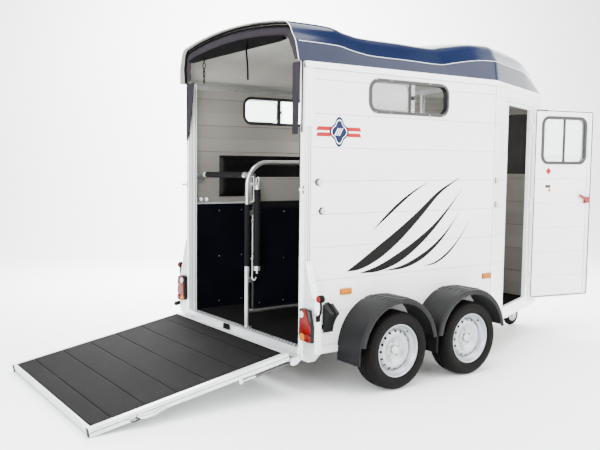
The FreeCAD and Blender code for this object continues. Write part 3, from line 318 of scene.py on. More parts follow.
# Floor board: birch plywood, its face sealed with phenol and its sawn edge showing, brown.
FLOOR_PLY = Finish("phenol_plywood_edge", "plywood", "#5a4330", "#6c523b", Surface.BRUSHED, grain=1.5,
                   depth=0.05, roughness=0.7)
# Side pads: foam under stretched vinyl with an embossed leather grain about 1.5 mm.
PAD_VINYL = Finish("embossed_vinyl", "pad_vinyl", "#040405", "#080809", Surface.PEBBLE, grain=1.5, depth=0.08,
                   roughness=0.5, spread=0.05, ior=1.2)
# Rear curtain: coated polyester, grey-violet, thread spacing drawn 2.4 mm coarse so that it shows.
TARPAULIN = Finish("coated_polyester", "tarpaulin_cloth", "#221e23", "#2a252b", Surface.WEAVE, grain=2.4,
                   depth=0.08, roughness=0.66, ior=1.25)
# Bindings and straps: woven polyester tape, dull black, threads drawn 1.6 mm coarse. The rolled curtain takes
# the same black as painted shade, in place of the cloth's own grey-violet.
BINDING_AND_SHADE = Finish("binding_tape_and_painted_shade", "tarpaulin_cloth", "#030303", "#070607", Surface.WEAVE, grain=1.6,
                 depth=0.08, roughness=0.8, ior=1.15)
# Panes: cast acrylic, polished; clear with the least green at the sides, smoked at the nose.
CLEAR_ACRYLIC = Finish("clear_cast_acrylic", "clear_glazing", "#e8f0ee", "#dfe9e7", grain=60.0, depth=0.05,
                       roughness=0.05, spread=0.02, transmission=0.85, ior=1.49, alpha=0.55)
TINTED_ACRYLIC = replace(CLEAR_ACRYLIC, name="tinted_cast_acrylic", slot="tinted_glazing", colour="#12100f",
                         tone="#191614", roughness=0.06, transmission=0.4, alpha=1.0)
# Wheels: pressed steel, silver enamel with a fine metal flake.
WHEEL_ENAMEL = Finish("silver_wheel_enamel", "silver_paint", "#9da2a6", "#abafb3", grain=2.0, depth=0.01,
                      metallic=0.55, roughness=0.34, spread=0.05, coat=0.1)
# Strut rods and catch studs: ground steel under hard chrome, mirror bright.
CHROMED = Finish("hard_chrome", "bright_steel", "#d6d8da", "#e2e3e4", Surface.BRUSHED, grain=1.0, depth=0.005,
                 metallic=1.0, roughness=0.12, spread=0.04)
# Small fittings, tubes and screws: steel, zinc plated and passivated, a soft even grey.
ZINC = Finish("zinc_plated_steel", "galvanised_steel", "#c9cbc8", "#b7b9b5", grain=4.0, depth=0.01,
              metallic=0.9, roughness=0.3)
# Strut tubes, drums and the outer handle: steel sprayed with black enamel and stoved.
BLACK_ENAMEL = Finish("black_stove_enamel", "black_enamel", "#101011", "#18181a", grain=2.5, depth=0.01,
                      roughness=0.25, coat=0.5)
# Lamp lenses: injection moulded PMMA with prism ribs inside, drawn 4 mm apart.
LENS_RED = Finish("red_pmma_lens", "lamp_plastic", "#720100", "#5a0000", Surface.RIBBED, grain=4.0, depth=0.5,
                  roughness=0.22, spread=0.03, ior=1.25, coat=0.08)
LENS_AMBER = replace(LENS_RED, name="amber_pmma_lens", colour="#b06400", tone="#a45c00", roughness=0.25,
                     coat=0.05)
LENS_CLEAR = replace(LENS_RED, name="clear_pmma_lens", colour="#e6e9ea", tone="#d5dadc", roughness=0.1,
                     transmission=0.25, ior=1.49, coat=0.6)
LENS_SMOKED = replace(LENS_RED, name="smoked_pmma_lens", colour="#303337", tone="#26292c", depth=0.4,
                      roughness=0.2, ior=1.3, coat=0.0)
# Door latch: injection moulded nylon, red all through.
RED_PLASTIC = Finish("red_nylon", "lamp_plastic", "#86060a", "#780407", grain=1.2, depth=0.02, roughness=0.36)
# Decals: cast vinyl film, flat colour with a satin top.
VINYL_BLACK = Finish("cast_vinyl_black", "black_plastic", "#0a0b0a", "#101110", grain=5.0, depth=0.004,
                     roughness=0.34, ior=1.15)
VINYL_NAVY = replace(VINYL_BLACK, name="cast_vinyl_navy", slot="navy_gelcoat", colour="#0a1736",
                     tone="#0d1c40", roughness=0.32, ior=1.2)
VINYL_RED = replace(VINYL_NAVY, name="cast_vinyl_red", slot="lamp_plastic", colour="#a8101a", tone="#9c0d15")
# Studio: seamless paper, matt white.
STUDIO_PAPER = Finish("seamless_paper", "white_plank", "#f6f8f7", "#f4f6f5", grain=4.0, depth=0.01,
                      roughness=0.6, spread=0.02)


def at(x: float, y: float, z: float) -> Vector:
    """A point in millimetres as a vector."""
    return Vector((x, y, z))


AHEAD, REAR, LEFT, RIGHT, UP = at(1, 0, 0), at(-1, 0, 0), at(0, 1, 0), at(0, -1, 0), at(0, 0, 1)
NOSE_OUT = at(math.sin(NOSE_ANGLE), -math.cos(NOSE_ANGLE), 0)
FLIP = Matrix.Diagonal((1, -1, 1, 1))


def to_frame(point: Vector) -> Vector:
    """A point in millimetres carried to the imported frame, in metres."""
    return Vector(((point.x - MIDDLE_X) / 1000, point.y / 1000, point.z / 1000))


def turns(end: int, step: int) -> list[float]:
    """Angles from zero up to an end in degrees, as radians."""
    return [math.radians(degrees) for degrees in range(0, end, step)]


def inner_corner(offset: float) -> tuple[float, float]:
    """Where the side's and the nose panel's lines meet, both moved inwards.

    Args:
        offset: how far in from the outer faces.

    Returns:
        X, and Y on the left side.
    """
    return SIDE_LENGTH - offset * math.tan(NOSE_ANGLE / 2), BODY_HALF - offset


def inner_front(offset: float) -> tuple[float, float]:
    """Where the nose panel's and the front panel's lines meet, both moved inwards.

    Args:
        offset: how far in from the outer faces.

    Returns:
        X, and Y on the left side.
    """
    x = SIDE_LENGTH + NOSE_LENGTH - offset
    corner_x, corner_y = inner_corner(offset)
    return x, corner_y - (x - corner_x) * math.tan(NOSE_ANGLE)


def nose_place() -> Matrix:
    """Carries a shape drawn along X on the plane y = 0 to the right nose panel."""
    return Matrix.Translation((SIDE_LENGTH, -BODY_HALF, 0)) @ Matrix.Rotation(NOSE_ANGLE, 4, "Z")


def arc_points(first: Vector, middle: Vector, last: Vector, count: int) -> list[Vector]:
    """Points on the circle through three points.

    Args:
        first: where it starts.
        middle: a point that it passes.
        last: where it ends.
        count: how many steps.

    Returns:
        The points, both ends among them.
    """
    u = middle - first
    v = last - first
    n = u.cross(v)
    centre = first + (n.cross(u) * v.length_squared + v.cross(n) * u.length_squared) / (2 * n.length_squared)
    start = first - centre
    total = start.angle(last - centre)
    if start.angle(middle - centre) > total:
        total = 2 * math.pi - total
    turn = [Matrix.Rotation(total * i / count, 3, n) for i in range(count + 1)]
    return [centre + m @ start for m in turn]


def smooth_rows(rows: Sequence[Sequence[float]], parts: int) -> list[list[float]]:
    """Rows of numbers with more rows between them, on curves through each column.

    Args:
        rows: the rows; the first column rises.
        parts: how many steps between two rows.

    Returns:
        The finer rows.
    """
    made: list[list[float]] = []
    for i in range(len(rows) - 1):
        before = rows[max(0, i - 1)]
        a, b = rows[i], rows[i + 1]
        after = rows[min(len(rows) - 1, i + 2)]
        gap = b[0] - a[0]
        for k in range(parts):
            t = k / parts
            row = [a[0] + gap * t]
            for j in range(1, len(a)):
                m0 = (b[j] - before[j]) / (b[0] - before[0]) * gap
                m1 = (after[j] - a[j]) / (after[0] - a[0]) * gap
                row.append((2 * t ** 3 - 3 * t ** 2 + 1) * a[j] + (t ** 3 - 2 * t ** 2 + t) * m0
                           + (3 * t ** 2 - 2 * t ** 3) * b[j] + (t ** 3 - t ** 2) * m1)
            made.append(row)
    made.append(list(rows[-1]))
    return made


def curve_points(points: Points, parts: int) -> list[Vector]:
    """A smooth line through points, each step cut in parts.

    Args:
        points: what it passes through.
        parts: how many steps between two points.

    Returns:
        The finer line.
    """
    made: list[Vector] = []
    for i in range(len(points) - 1):
        p0 = points[max(0, i - 1)]
        p1, p2 = points[i], points[i + 1]
        p3 = points[min(len(points) - 1, i + 2)]
        for k in range(parts):
            t = k / parts
            made.append(0.5 * (2 * p1 + (p2 - p0) * t + (2 * p0 - 5 * p1 + 4 * p2 - p3) * t * t
                               + (3 * p1 - p0 - 3 * p2 + p3) * t ** 3))
    made.append(points[-1].copy())
    return made


class Form:
    """Gathers the corners and faces of a piece, in millimetres, with a finish number on each face."""

    def __init__(self) -> None:
        """Start with nothing."""
        self.points: list[Vector] = []
        self.faces: list[tuple[int, ...]] = []
        self.finishes: list[int] = []

    def add(self, points: Points, faces: Sequence[Sequence[int]], finish: int = 0) -> "Form":
        """Add corners and faces.

        Args:
            points: the corners.
            faces: each face's corners by number.
            finish: the finish number of these faces.

        Returns:
            This form.
        """
        start = len(self.points)
        self.points += [p.copy() for p in points]
        self.faces += [tuple(start + i for i in face) for face in faces]
        self.finishes += [finish] * len(faces)
        return self

    def grid(self, rows: Sequence[Points], finish: int = 0, around: bool = True, caps: bool = True) -> "Form":
        """Join rows of corners into a skin.

        Args:
            rows: rows with the same number of corners.
            finish: the finish number.
            around: whether each row closes on itself.
            caps: whether the first and last row are filled.

        Returns:
            This form.
        """
        n = len(rows[0])
        faces: list[list[int]] = []
        for r in range(len(rows) - 1):
            for i in range(n if around else n - 1):
                j = (i + 1) % n
                faces.append([r * n + i, r * n + j, (r + 1) * n + j, (r + 1) * n + i])
        if caps:
            faces.append(list(range(n))[::-1])
            faces.append([(len(rows) - 1) * n + i for i in range(n)])
        return self.add([p for row in rows for p in row], faces, finish)

    def skin(self, rows: Sequence[Points], finish: int = 0) -> "Form":
        """Join rows of corners into an open sheet."""
        return self.grid(rows, finish, False, False)

    def ring(self, rows: Sequence[Points], finish: int = 0) -> "Form":
        """Join rows of closed corners into a ring that meets itself."""
        return self.grid([*rows, rows[0]], finish, True, False)

    def box(self, low: Vector, high: Vector, finish: int = 0) -> "Form":
        """Add a block between two corners."""
        foot = [low, at(high.x, low.y, low.z), at(high.x, high.y, low.z), at(low.x, high.y, low.z)]
        return self.prism(foot, at(0, 0, high.z - low.z), finish)

    def prism(self, outline: Points, run: Vector, finish: int = 0) -> "Form":
        """Push an outline along a run and close it at both ends."""
        return self.grid([outline, [p + run for p in outline]], finish)

    def tube(self, start: Vector, end: Vector, radius: float, finish: int = 0, sides: int = 24) -> "Form":
        """A round bar with softened ends.

        Args:
            start: the middle of one end.
            end: the middle of the other.
            radius: its radius.
            finish: the finish number.
            sides: how many sides it has.

        Returns:
            This form.
        """
        length = (end - start).length
        soft = min(1.2, radius * 0.2, length * 0.2)
        profile = [(0.0, radius - soft), (soft, radius), (length - soft, radius), (length, radius - soft)]
        return self.revolve(profile, start, end - start, finish, sides)

    def revolve(self, profile: Pairs, start: Vector, axis: Vector, finish: int = 0,
                sides: int = 32, closed: bool = False) -> "Form":
        """Turn a profile about an axis.

        Args:
            profile: pairs of distance along the axis and radius.
            start: where distances start.
            axis: the direction of the axis.
            finish: the finish number.
            sides: how many steps round.
            closed: whether the profile closes on itself, as a ring does.

        Returns:
            This form.
        """
        up = axis.normalized()
        side = up.orthogonal().normalized()
        other = up.cross(side)
        round_angles = [2 * math.pi * i / sides for i in range(sides)]
        ring = [side * math.cos(a) + other * math.sin(a) for a in round_angles]
        rows = [[start + up * along + way * radius for way in ring] for along, radius in profile]
        if closed:
            return self.ring(rows, finish)
        return self.grid(rows, finish)

    def sweep(self, path: Points, radius: float, finish: int = 0, sides: int = 12, flat: float = 1.0,
              closed: bool = False) -> "Form":
        """A bar of round or flattened section along a line.

        Args:
            path: the line.
            radius: half its width.
            finish: the finish number.
            sides: how many sides it has.
            flat: its thickness as a share of its width.
            closed: whether the line closes on itself.

        Returns:
            This form.
        """
        rows = []
        count = len(path)
        side = None
        for i, point in enumerate(path):
            ahead = path[(i + 1) % count] if closed else path[min(count - 1, i + 1)]
            back = path[i - 1] if closed or i else path[0]
            way = (ahead - back).normalized()
            if side is None:
                side = way.orthogonal()
            side = (side - way * side.dot(way)).normalized()
            other = way.cross(side)
            rows.append([point + side * radius * math.cos(2 * math.pi * k / sides)
                         + other * radius * flat * math.sin(2 * math.pi * k / sides) for k in range(sides)])
        if closed:
            return self.ring(rows, finish)
        return self.grid(rows, finish)

    def moved(self, place: Matrix) -> "Form":
        """Carry the whole form by a matrix."""
        self.points = [place @ p for p in self.points]
        return self

    def joined(self, other: "Form") -> "Form":
        """Take in another form as it is."""
        start = len(self.points)
        self.points += [p.copy() for p in other.points]
        self.faces += [tuple(start + i for i in face) for face in other.faces]
        self.finishes += other.finishes
        return self

    def both_sides(self) -> "Form":
        """Add a mirror copy on the other side of the trailer."""
        count = len(self.points)
        self.points += [at(p.x, -p.y, p.z) for p in self.points]
        self.faces += [tuple(count + i for i in reversed(face)) for face in self.faces]
        self.finishes *= 2
        return self

    def piece(self, name: str, *finishes: Finish, body: str = "trailer", bevel: float = 0.0,
              angle: float = 32.0, replaces: Sequence[str] = ()) -> bpy.types.Object:
        """Make the object, let it ride on a body and give it its finishes.

        Args:
            name: the piece's name.
            finishes: what its finish numbers stand for.
            body: the body that carries it.
            bevel: how wide its edges are rounded.
            angle: above this angle in degrees an edge is sharp.
            replaces: the CAD nodes that it stands for.

        Returns:
            The object.
        """
        mesh = bpy.data.meshes.new(name)
        mesh.from_pydata([to_frame(p) for p in self.points], [], self.faces)
        mesh.validate()
        for finish in finishes:
            mesh.materials.append(finish.material())
        mesh.polygons.foreach_set("material_index", self.finishes)
        made = bpy.data.objects.new(name, mesh)
        bpy.context.scene.collection.objects.link(made)
        tidy_faces(made, bevel, angle)
        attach(made, body)
        if replaces:
            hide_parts(*replaces)
        LOG.info("%s on %s: %d faces", name, body, len(mesh.polygons))
        return made


def tidy_faces(piece: bpy.types.Object, bevel: float, angle: float) -> None:
    """Turn faces outwards, smooth them up to an angle and round the edges.

    Args:
        piece: the object.
        bevel: how wide its edges are rounded, in millimetres.
        angle: above this angle in degrees an edge is sharp.
    """
    mesh = piece.data
    work = bmesh.new()
    work.from_mesh(mesh)
    bmesh.ops.remove_doubles(work, verts=work.verts, dist=1e-6)
    bmesh.ops.recalc_face_normals(work, faces=work.faces)
    work.to_mesh(mesh)
    work.free()
    mesh.shade_smooth()
    mesh.set_sharp_from_angle(angle=math.radians(angle))
    if bevel:
        rounded = piece.modifiers.new("rounded edges", "BEVEL")
        rounded.width = bevel / 1000
        rounded.segments = 2
        rounded.limit_method = "ANGLE"
        rounded.angle_limit = math.radians(40)
        rounded.harden_normals = True


def cut_away(piece: bpy.types.Object, cutter: Form, angle: float = 14.0) -> None:
    """Take a form out of a piece for good.

    Args:
        piece: the object.
        cutter: what is taken out.
        angle: above this angle in degrees an edge is sharp afterwards.
    """
    mesh = bpy.data.meshes.new("cutter")
    mesh.from_pydata([to_frame(p) for p in cutter.points], [], cutter.faces)
    tool = bpy.data.objects.new("cutter", mesh)
    bpy.context.scene.collection.objects.link(tool)
    tidy_faces(tool, 0.0, 30.0)
    taken = piece.modifiers.new("hole", "BOOLEAN")
    taken.operation = "DIFFERENCE"
    taken.solver = "EXACT"
    taken.object = tool
    bpy.context.view_layer.update()
    result = bpy.data.meshes.new_from_object(piece.evaluated_get(bpy.context.evaluated_depsgraph_get()))
    piece.modifiers.remove(taken)
    old = piece.data
    name = old.name
    piece.data = result
    bpy.data.meshes.remove(old)
    result.name = name
    bpy.data.objects.remove(tool)
    bpy.data.meshes.remove(mesh)
    result.set_sharp_from_angle(angle=math.radians(angle))


def dress(node: str, finish: Finish, angle: float = 30.0,
          choose: Callable[[Vector, Vector], int] | None = None,
          others: Sequence[Finish] = ()) -> bpy.types.Object:
    """Give a CAD node its finishes and smooth its round faces.

    Args:
        node: the node's name.
        finish: its first finish.
        angle: above this angle in degrees an edge is sharp.
        choose: gives a face's finish number from its middle, in millimetres, and its normal.
        others: the finishes after the first.

    Returns:
        The node's object.
    """
    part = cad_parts[node]
    mesh = part.data
    mesh.materials.clear()
    for each in (finish, *others):
        mesh.materials.append(each.material())
    for face in mesh.polygons:
        face.use_smooth = True
        face.material_index = 0
        if choose is not None:
            middle = at(face.center.x * 1000 + MIDDLE_X, face.center.y * 1000, face.center.z * 1000)
            face.material_index = choose(middle, face.normal)
    mesh.set_sharp_from_angle(angle=math.radians(angle))
    LOG.info("%s dressed", node)
    return part


def dress_each(finishes: dict[str, Finish]) -> None:
    """Give each CAD node its one finish."""
    for node, finish in finishes.items():
        dress(node, finish)


def nose_ends(depth: float) -> tuple[Vector, Vector]:
    """Both ends of the right nose panel at a depth inwards."""
    ax, ay = inner_corner(depth)
    bx, by = inner_front(depth)
    return at(ax, -ay, 0), at(bx, -by, 0)


@dataclass
class BodyShell:
    """Planked walls with their windows' and door's openings, corner strips, rails and bolt knobs."""

    groove: float = 2.6
    groove_half: float = 2.8
    top_seams: int = 8
    knobs: tuple[tuple[float, float], ...] = ((115, 1517), (150, 1314), (2003, 1521), (2013, 1319))

    def levels(self, low: float, high: float) -> list[tuple[float, float, float]]:
        """Heights up a wall with the depth of the outer and the inner groove at each.

        Args:
            low: the wall's foot.
            high: the wall's top.

        Returns:
            Rows of height, outer depth and inner depth.
        """
        rows = [(low, 0.0, 0.0)]
        for i in range(2 * self.top_seams + 1):
            z = FIRST_SEAM + i * PLANK_PITCH / 2
            outer, inner = (self.groove, self.groove) if i % 2 == 0 else (0.0, self.groove * 0.5)
            if low + 4 < z < high - 4:
                rows += [(z - self.groove_half, 0.0, 0.0), (z, outer, inner),
                         (z + self.groove_half, 0.0, 0.0)]
        return rows + [(high, 0.0, 0.0)]

    def wall(self, ends: Ends, low: float = FLOOR_TOP, high: float = WALL_TOP,
             thickness: float = WALL) -> Form:
        """A planked wall: white outside, bare inside.

        Args:
            ends: gives both ends of the wall at a depth inwards.
            low: its foot.
            high: its top.
            thickness: how thick it is.

        Returns:
            The wall's form.
        """
        form = Form()
        rows = self.levels(low, high)
        outer = [[p + at(0, 0, z) for p in ends(depth)] for z, depth, _ in rows]
        inner = [[p + at(0, 0, z) for p in ends(thickness - depth)] for z, _, depth in rows]
        form.skin(outer)
        form.skin(inner, 1)
        count = len(rows)
        edge = [row[0] for row in outer] + [row[0] for row in reversed(inner)]
        far = [row[1] for row in outer] + [row[1] for row in reversed(inner)]
        strips = [[i, i + 1, 2 * count - 2 - i, 2 * count - 1 - i] for i in range(count - 1)]
        form.add(edge, strips, 0)
        form.add(far, strips, 0)
        form.add([outer[0][0], outer[0][1], inner[0][1], inner[0][0]], [[0, 1, 2, 3]], 0)
        form.add([outer[-1][0], outer[-1][1], inner[-1][1], inner[-1][0]], [[0, 1, 2, 3]], 0)
        return form

    def walls(self) -> None:
        """Build the five walls in place of their CAD nodes."""
        def side_ends(depth: float) -> tuple[Vector, Vector]:
            """Both ends of the right side at a depth inwards."""
            x, y = inner_corner(depth)
            return at(POST_DEPTH, -y, 0), at(x, -y, 0)

        def front_ends(depth: float) -> tuple[Vector, Vector]:
            """Both ends of the front panel at a depth inwards."""
            x, y = inner_front(depth)
            return at(x, -y, 0), at(x, y, 0)

        def flip(ends: Ends) -> Ends:
            """The same wall on the left."""
            return lambda depth: tuple(at(p.x, -p.y, 0) for p in ends(depth))

        def planked(name: str, ends: Ends, node: str) -> bpy.types.Object:
            """One wall in place of its CAD node."""
            return self.wall(ends).piece(name, PLANK_WHITE, PLANK_BARE, angle=14, replaces=[node])

        hole = Windows().outline(-16)
        for side, ends, y in (("right", side_ends, -BODY_HALF - 50),
                              ("left", flip(side_ends), BODY_HALF - 50)):
            wall = planked("planked_side_" + side, ends, "side_wall_" + side)
            cut_away(wall, Form().prism([at(x, y, z) for x, z in hole], at(0, 100, 0)))
        planked("planked_nose_left", flip(nose_ends), "nose_wall_left")
        nose = planked("planked_nose_right", nose_ends, "nose_wall_right")
        door = TackDoor()
        cut_away(nose, Form().box(at(door.start, -100, door.low),
                                  at(door.start + door.opening, 100, door.high)).moved(nose_place()))
        front = planked("planked_front", front_ends, "nose_wall_front")
        pane = rounded_outline(-270, 270, 1570, 2170, 60)
        cut_away(front, Form().prism([at(SIDE_LENGTH + NOSE_LENGTH - 100, y, z) for y, z in pane],
                                     at(200, 0, 0)))

    def corner_strips(self) -> None:
        """The folded strips over the side corners, the dark joints beside them, and the inner rails."""
        face, foot, sheet = -BODY_HALF, 337.0, 1.6
        joint = Form().box(at(SIDE_LENGTH - 7.4, face - 0.5, foot),
                           at(SIDE_LENGTH - 5, face + 0.1, WALL_TOP - 1))
        joint.box(at(POST_DEPTH, face - 0.5, WALL_TOP - 3), at(SIDE_LENGTH, face + 0.1, WALL_TOP - 0.6))
        joint.both_sides().piece("dark_joints", BELLOWS)
        corner = at(SIDE_LENGTH, face, foot)
        far = corner + at(math.cos(NOSE_ANGLE), math.sin(NOSE_ANGLE), 0) * 62
        ring = [at(SIDE_LENGTH - 4, face, foot), at(SIDE_LENGTH - 4, face - sheet, foot),
                at(SIDE_LENGTH + sheet * math.tan(NOSE_ANGLE / 2), face - sheet, foot),
                far + NOSE_OUT * sheet, far, corner]
        strip = Form().prism(ring, at(0, 0, WALL_TOP - foot - 1))
        strip.both_sides().piece("corner_strips", TRIM_WHITE, bevel=0.5)
        rail = Form()
        for low, high, proud in ((2352, 2372, 12), (2372, 2376, 16)):
            rail.box(at(0, -INNER_Y - 6, low), at(SIDE_LENGTH, -INNER_Y + proud, high))
        rail.both_sides().piece("inner_rails", ZINC, bevel=1.0)

    def bolt_knobs(self) -> None:
        """Round knobs over the bars' bolts; those on the side walls have a small screw beside them."""
        form = Form()
        for x, z in self.knobs:
            beside = x < SIDE_LENGTH
            start = at(x, -BODY_HALF, z) if beside else nose_place() @ at(x - SIDE_LENGTH + 14, 0, z)
            way = RIGHT if beside else NOSE_OUT
            form.revolve([(0, 26), (3, 26), (4, 24), (4, 17)], start, way, 1, 28)
            form.revolve([(3, 17), (8, 17), (14, 19), (20, 18), (23, 13), (24, 1)], start, way, 0, 28)
            if beside:
                form.revolve([(0, 7), (1.5, 7), (3.4, 4), (3.6, 1)], start + at(-36, 0, 2), way, 0, 14)
        form.both_sides().piece("bar_bolt_knobs", ZINC, WINDOW_GREY)

    def inside(self, point: Vector) -> bool:
        """Whether a point is on the inner side of the walls' middle."""
        half = BODY_HALF - max(0.0, point.x - SIDE_LENGTH) * math.tan(NOSE_ANGLE)
        return abs(point.y) < half - WALL * 0.4 and point.x < SIDE_LENGTH + NOSE_LENGTH - WALL * 0.4

    def build(self) -> None:
        """Build the whole shell."""
        self.walls()
        self.corner_strips()
        self.bolt_knobs()
        dress("top_rail", TRIM_WHITE, choose=lambda p, n: 1 if self.inside(p) else 0, others=[ZINC])
        dress_each({"sill_rail": TRIM_WHITE, "floor_board": FLOOR_PLY, "floor_mat": FLOOR_RUBBER})


def rounded_outline(x0: float, x1: float, z0: float, z1: float, radius: float,
                    steps: int = 8) -> list[tuple[float, float]]:
    """A rectangle with round corners.

    Args:
        x0: its low side.
        x1: its high side.
        z0: its foot.
        z1: its top.
        radius: its corners' radius.
        steps: how many steps each corner takes.

    Returns:
        Pairs round it.
    """
    made = []
    for cx, cz, start in ((x1 - radius, z1 - radius, 0), (x0 + radius, z1 - radius, 90),
                          (x0 + radius, z0 + radius, 180), (x1 - radius, z0 + radius, 270)):
        for i in range(steps + 1):
            a = math.radians(start + 90 * i / steps)
            made.append((cx + radius * math.cos(a), cz + radius * math.sin(a)))
    return made


@dataclass
class Roof:
    """The moulded roof: station by station from its rear rim over two dips to its rounded nose."""

    sheet: float = 6.0
    base_half: float = 874.0
    rear_x: float = -106.0
    rear_lean: float = 42.0
    stations: tuple[tuple[float, float, float, float], ...] = (
        (-110, 2483, 2642, 52), (290, 2477, 2638, 55), (430, 2454, 2606, 55), (590, 2434, 2585, 55),
        (965, 2431, 2582, 55), (1340, 2428, 2580, 55), (1480, 2452, 2600, 55), (1760, 2495, 2645, 55),
        (1980, 2505, 2655, 58), (2300, 2505, 2658, 55), (2750, 2500, 2652, 45), (2915, 2462, 2628, 35),
        (3062, 2426, 2580, 28), (3185, 2394, 2508, 20), (3262, 2370, 2436, 12), (3290, 2356, 2384, 8))

    def half_width(self, x: float) -> float:
        """Half the roof's width at its base."""
        return self.base_half - max(0.0, x - SIDE_LENGTH) * math.tan(NOSE_ANGLE)

    def section(self, row: Sequence[float], inset: float, base: float) -> list[Vector]:
        """One section from the right base over the top to the left base.

        Args:
            row: x, height of the crease, height of the shoulder and rise of the crown.
            inset: how far inside the outer skin.
            base: the height of its foot.

        Returns:
            The section's points.
        """
        x, crease, shoulder, rise = row
        w = self.half_width(x) - inset
        c = crease - inset * 0.3
        s = c + (shoulder - crease) - inset * 0.6
        foot, k = at(x, -w, base), at(x, -(w - 22), c)
        e = at(x, -(w - 60), c + 0.42 * (s - c))
        m = at(x, -(w - 86), c + 0.74 * (s - c))
        f = at(x, -(w - 140), c + 0.95 * (s - c))
        top = at(x, 0, s + rise)
        k_low = k + (foot - k).normalized() * 7
        k_high = k + (e - k).normalized() * 7
        round_k = [k_low.lerp(k, t).lerp(k.lerp(k_high, t), t) for t in (0.25, 0.5, 0.75)]
        half = [foot, foot.lerp(k_low, 0.5), k_low, *round_k, k_high, k_high.lerp(e, 0.5)]
        half += arc_points(e, m, f, 5)
        crown = arc_points(f, top, at(x, -f.y, f.z), 24)
        half += crown[1:12]
        return half + [top] + [at(x, -p.y, p.z) for p in reversed(half)]

    def rear_plane(self, point: Vector) -> Vector:
        """Pull a point of the first station onto the leaning rear rim."""
        lean = self.rear_lean * (2800 - point.z) / (2800 - RAIL_TOP + 10)
        return at(self.rear_x + lean, point.y, point.z)

    def skin(self, inset: float, base: float) -> list[list[Vector]]:
        """All sections of one skin."""
        rows = []
        fine = smooth_rows(self.stations, 7)
        for i, row in enumerate(fine):
            moved = list(row)
            if inset and i == len(fine) - 1:
                moved[0] -= self.sheet
            section = self.section(moved, inset, base)
            if i == 0:
                section = [self.rear_plane(p) for p in section]
            elif row[0] < -40:
                section = [at(max(p.x, self.rear_plane(p).x + 8 * i), p.y, p.z) for p in section]
            rows.append(section)
        return rows

    def build(self) -> None:
        """Build the roof in place of its CAD node."""
        outer = self.skin(0.0, RAIL_TOP)
        inner = self.skin(self.sheet, RAIL_TOP)
        form = Form()
        form.skin(outer)
        form.skin(inner, 1)
        n = len(outer[0])
        form.skin([outer[0], inner[0]])
        form.skin([[row[0] for row in outer], [row[0] for row in inner]])
        form.skin([[row[-1] for row in outer], [row[-1] for row in inner]])
        form.add(outer[-1], [list(range(n))], 0)
        form.add(inner[-1], [list(range(n))], 1)
        form.skin([[outer[-1][0], outer[-1][-1]], [inner[-1][0], inner[-1][-1]]])
        form.piece("moulded_roof", GELCOAT, ROOF_LINING, angle=50, replaces=["roof_shell"])
        self.rim()

    def rim(self) -> None:
        """The pale rolled edge round the rear opening of the roof, and a thin white bead along each crease
        that is a painted highlight.
        """
        edge = [self.rear_plane(p) + at(1.0, 0, 0) for p in self.section(self.stations[0], self.sheet * 0.5,
                                                                         RAIL_TOP)]
        form = Form().sweep(edge, 3.2, 0, 10)
        form.piece("roof_rear_bead", TRIM_WHITE, angle=60)
        # The crease bead is a painted highlight: a white line where the rounded crease would catch the
        # ceiling light.
        rows = smooth_rows(self.stations, 7)
        crease = [at(row[0], -(self.half_width(row[0]) - 22), row[1] + 0.4) for row in rows
                  if -60 < row[0] < 3100]
        Form().sweep(crease, 1.8, 0, 8).both_sides().piece("roof_crease_painted_highlights", TRIM_WHITE, angle=60)


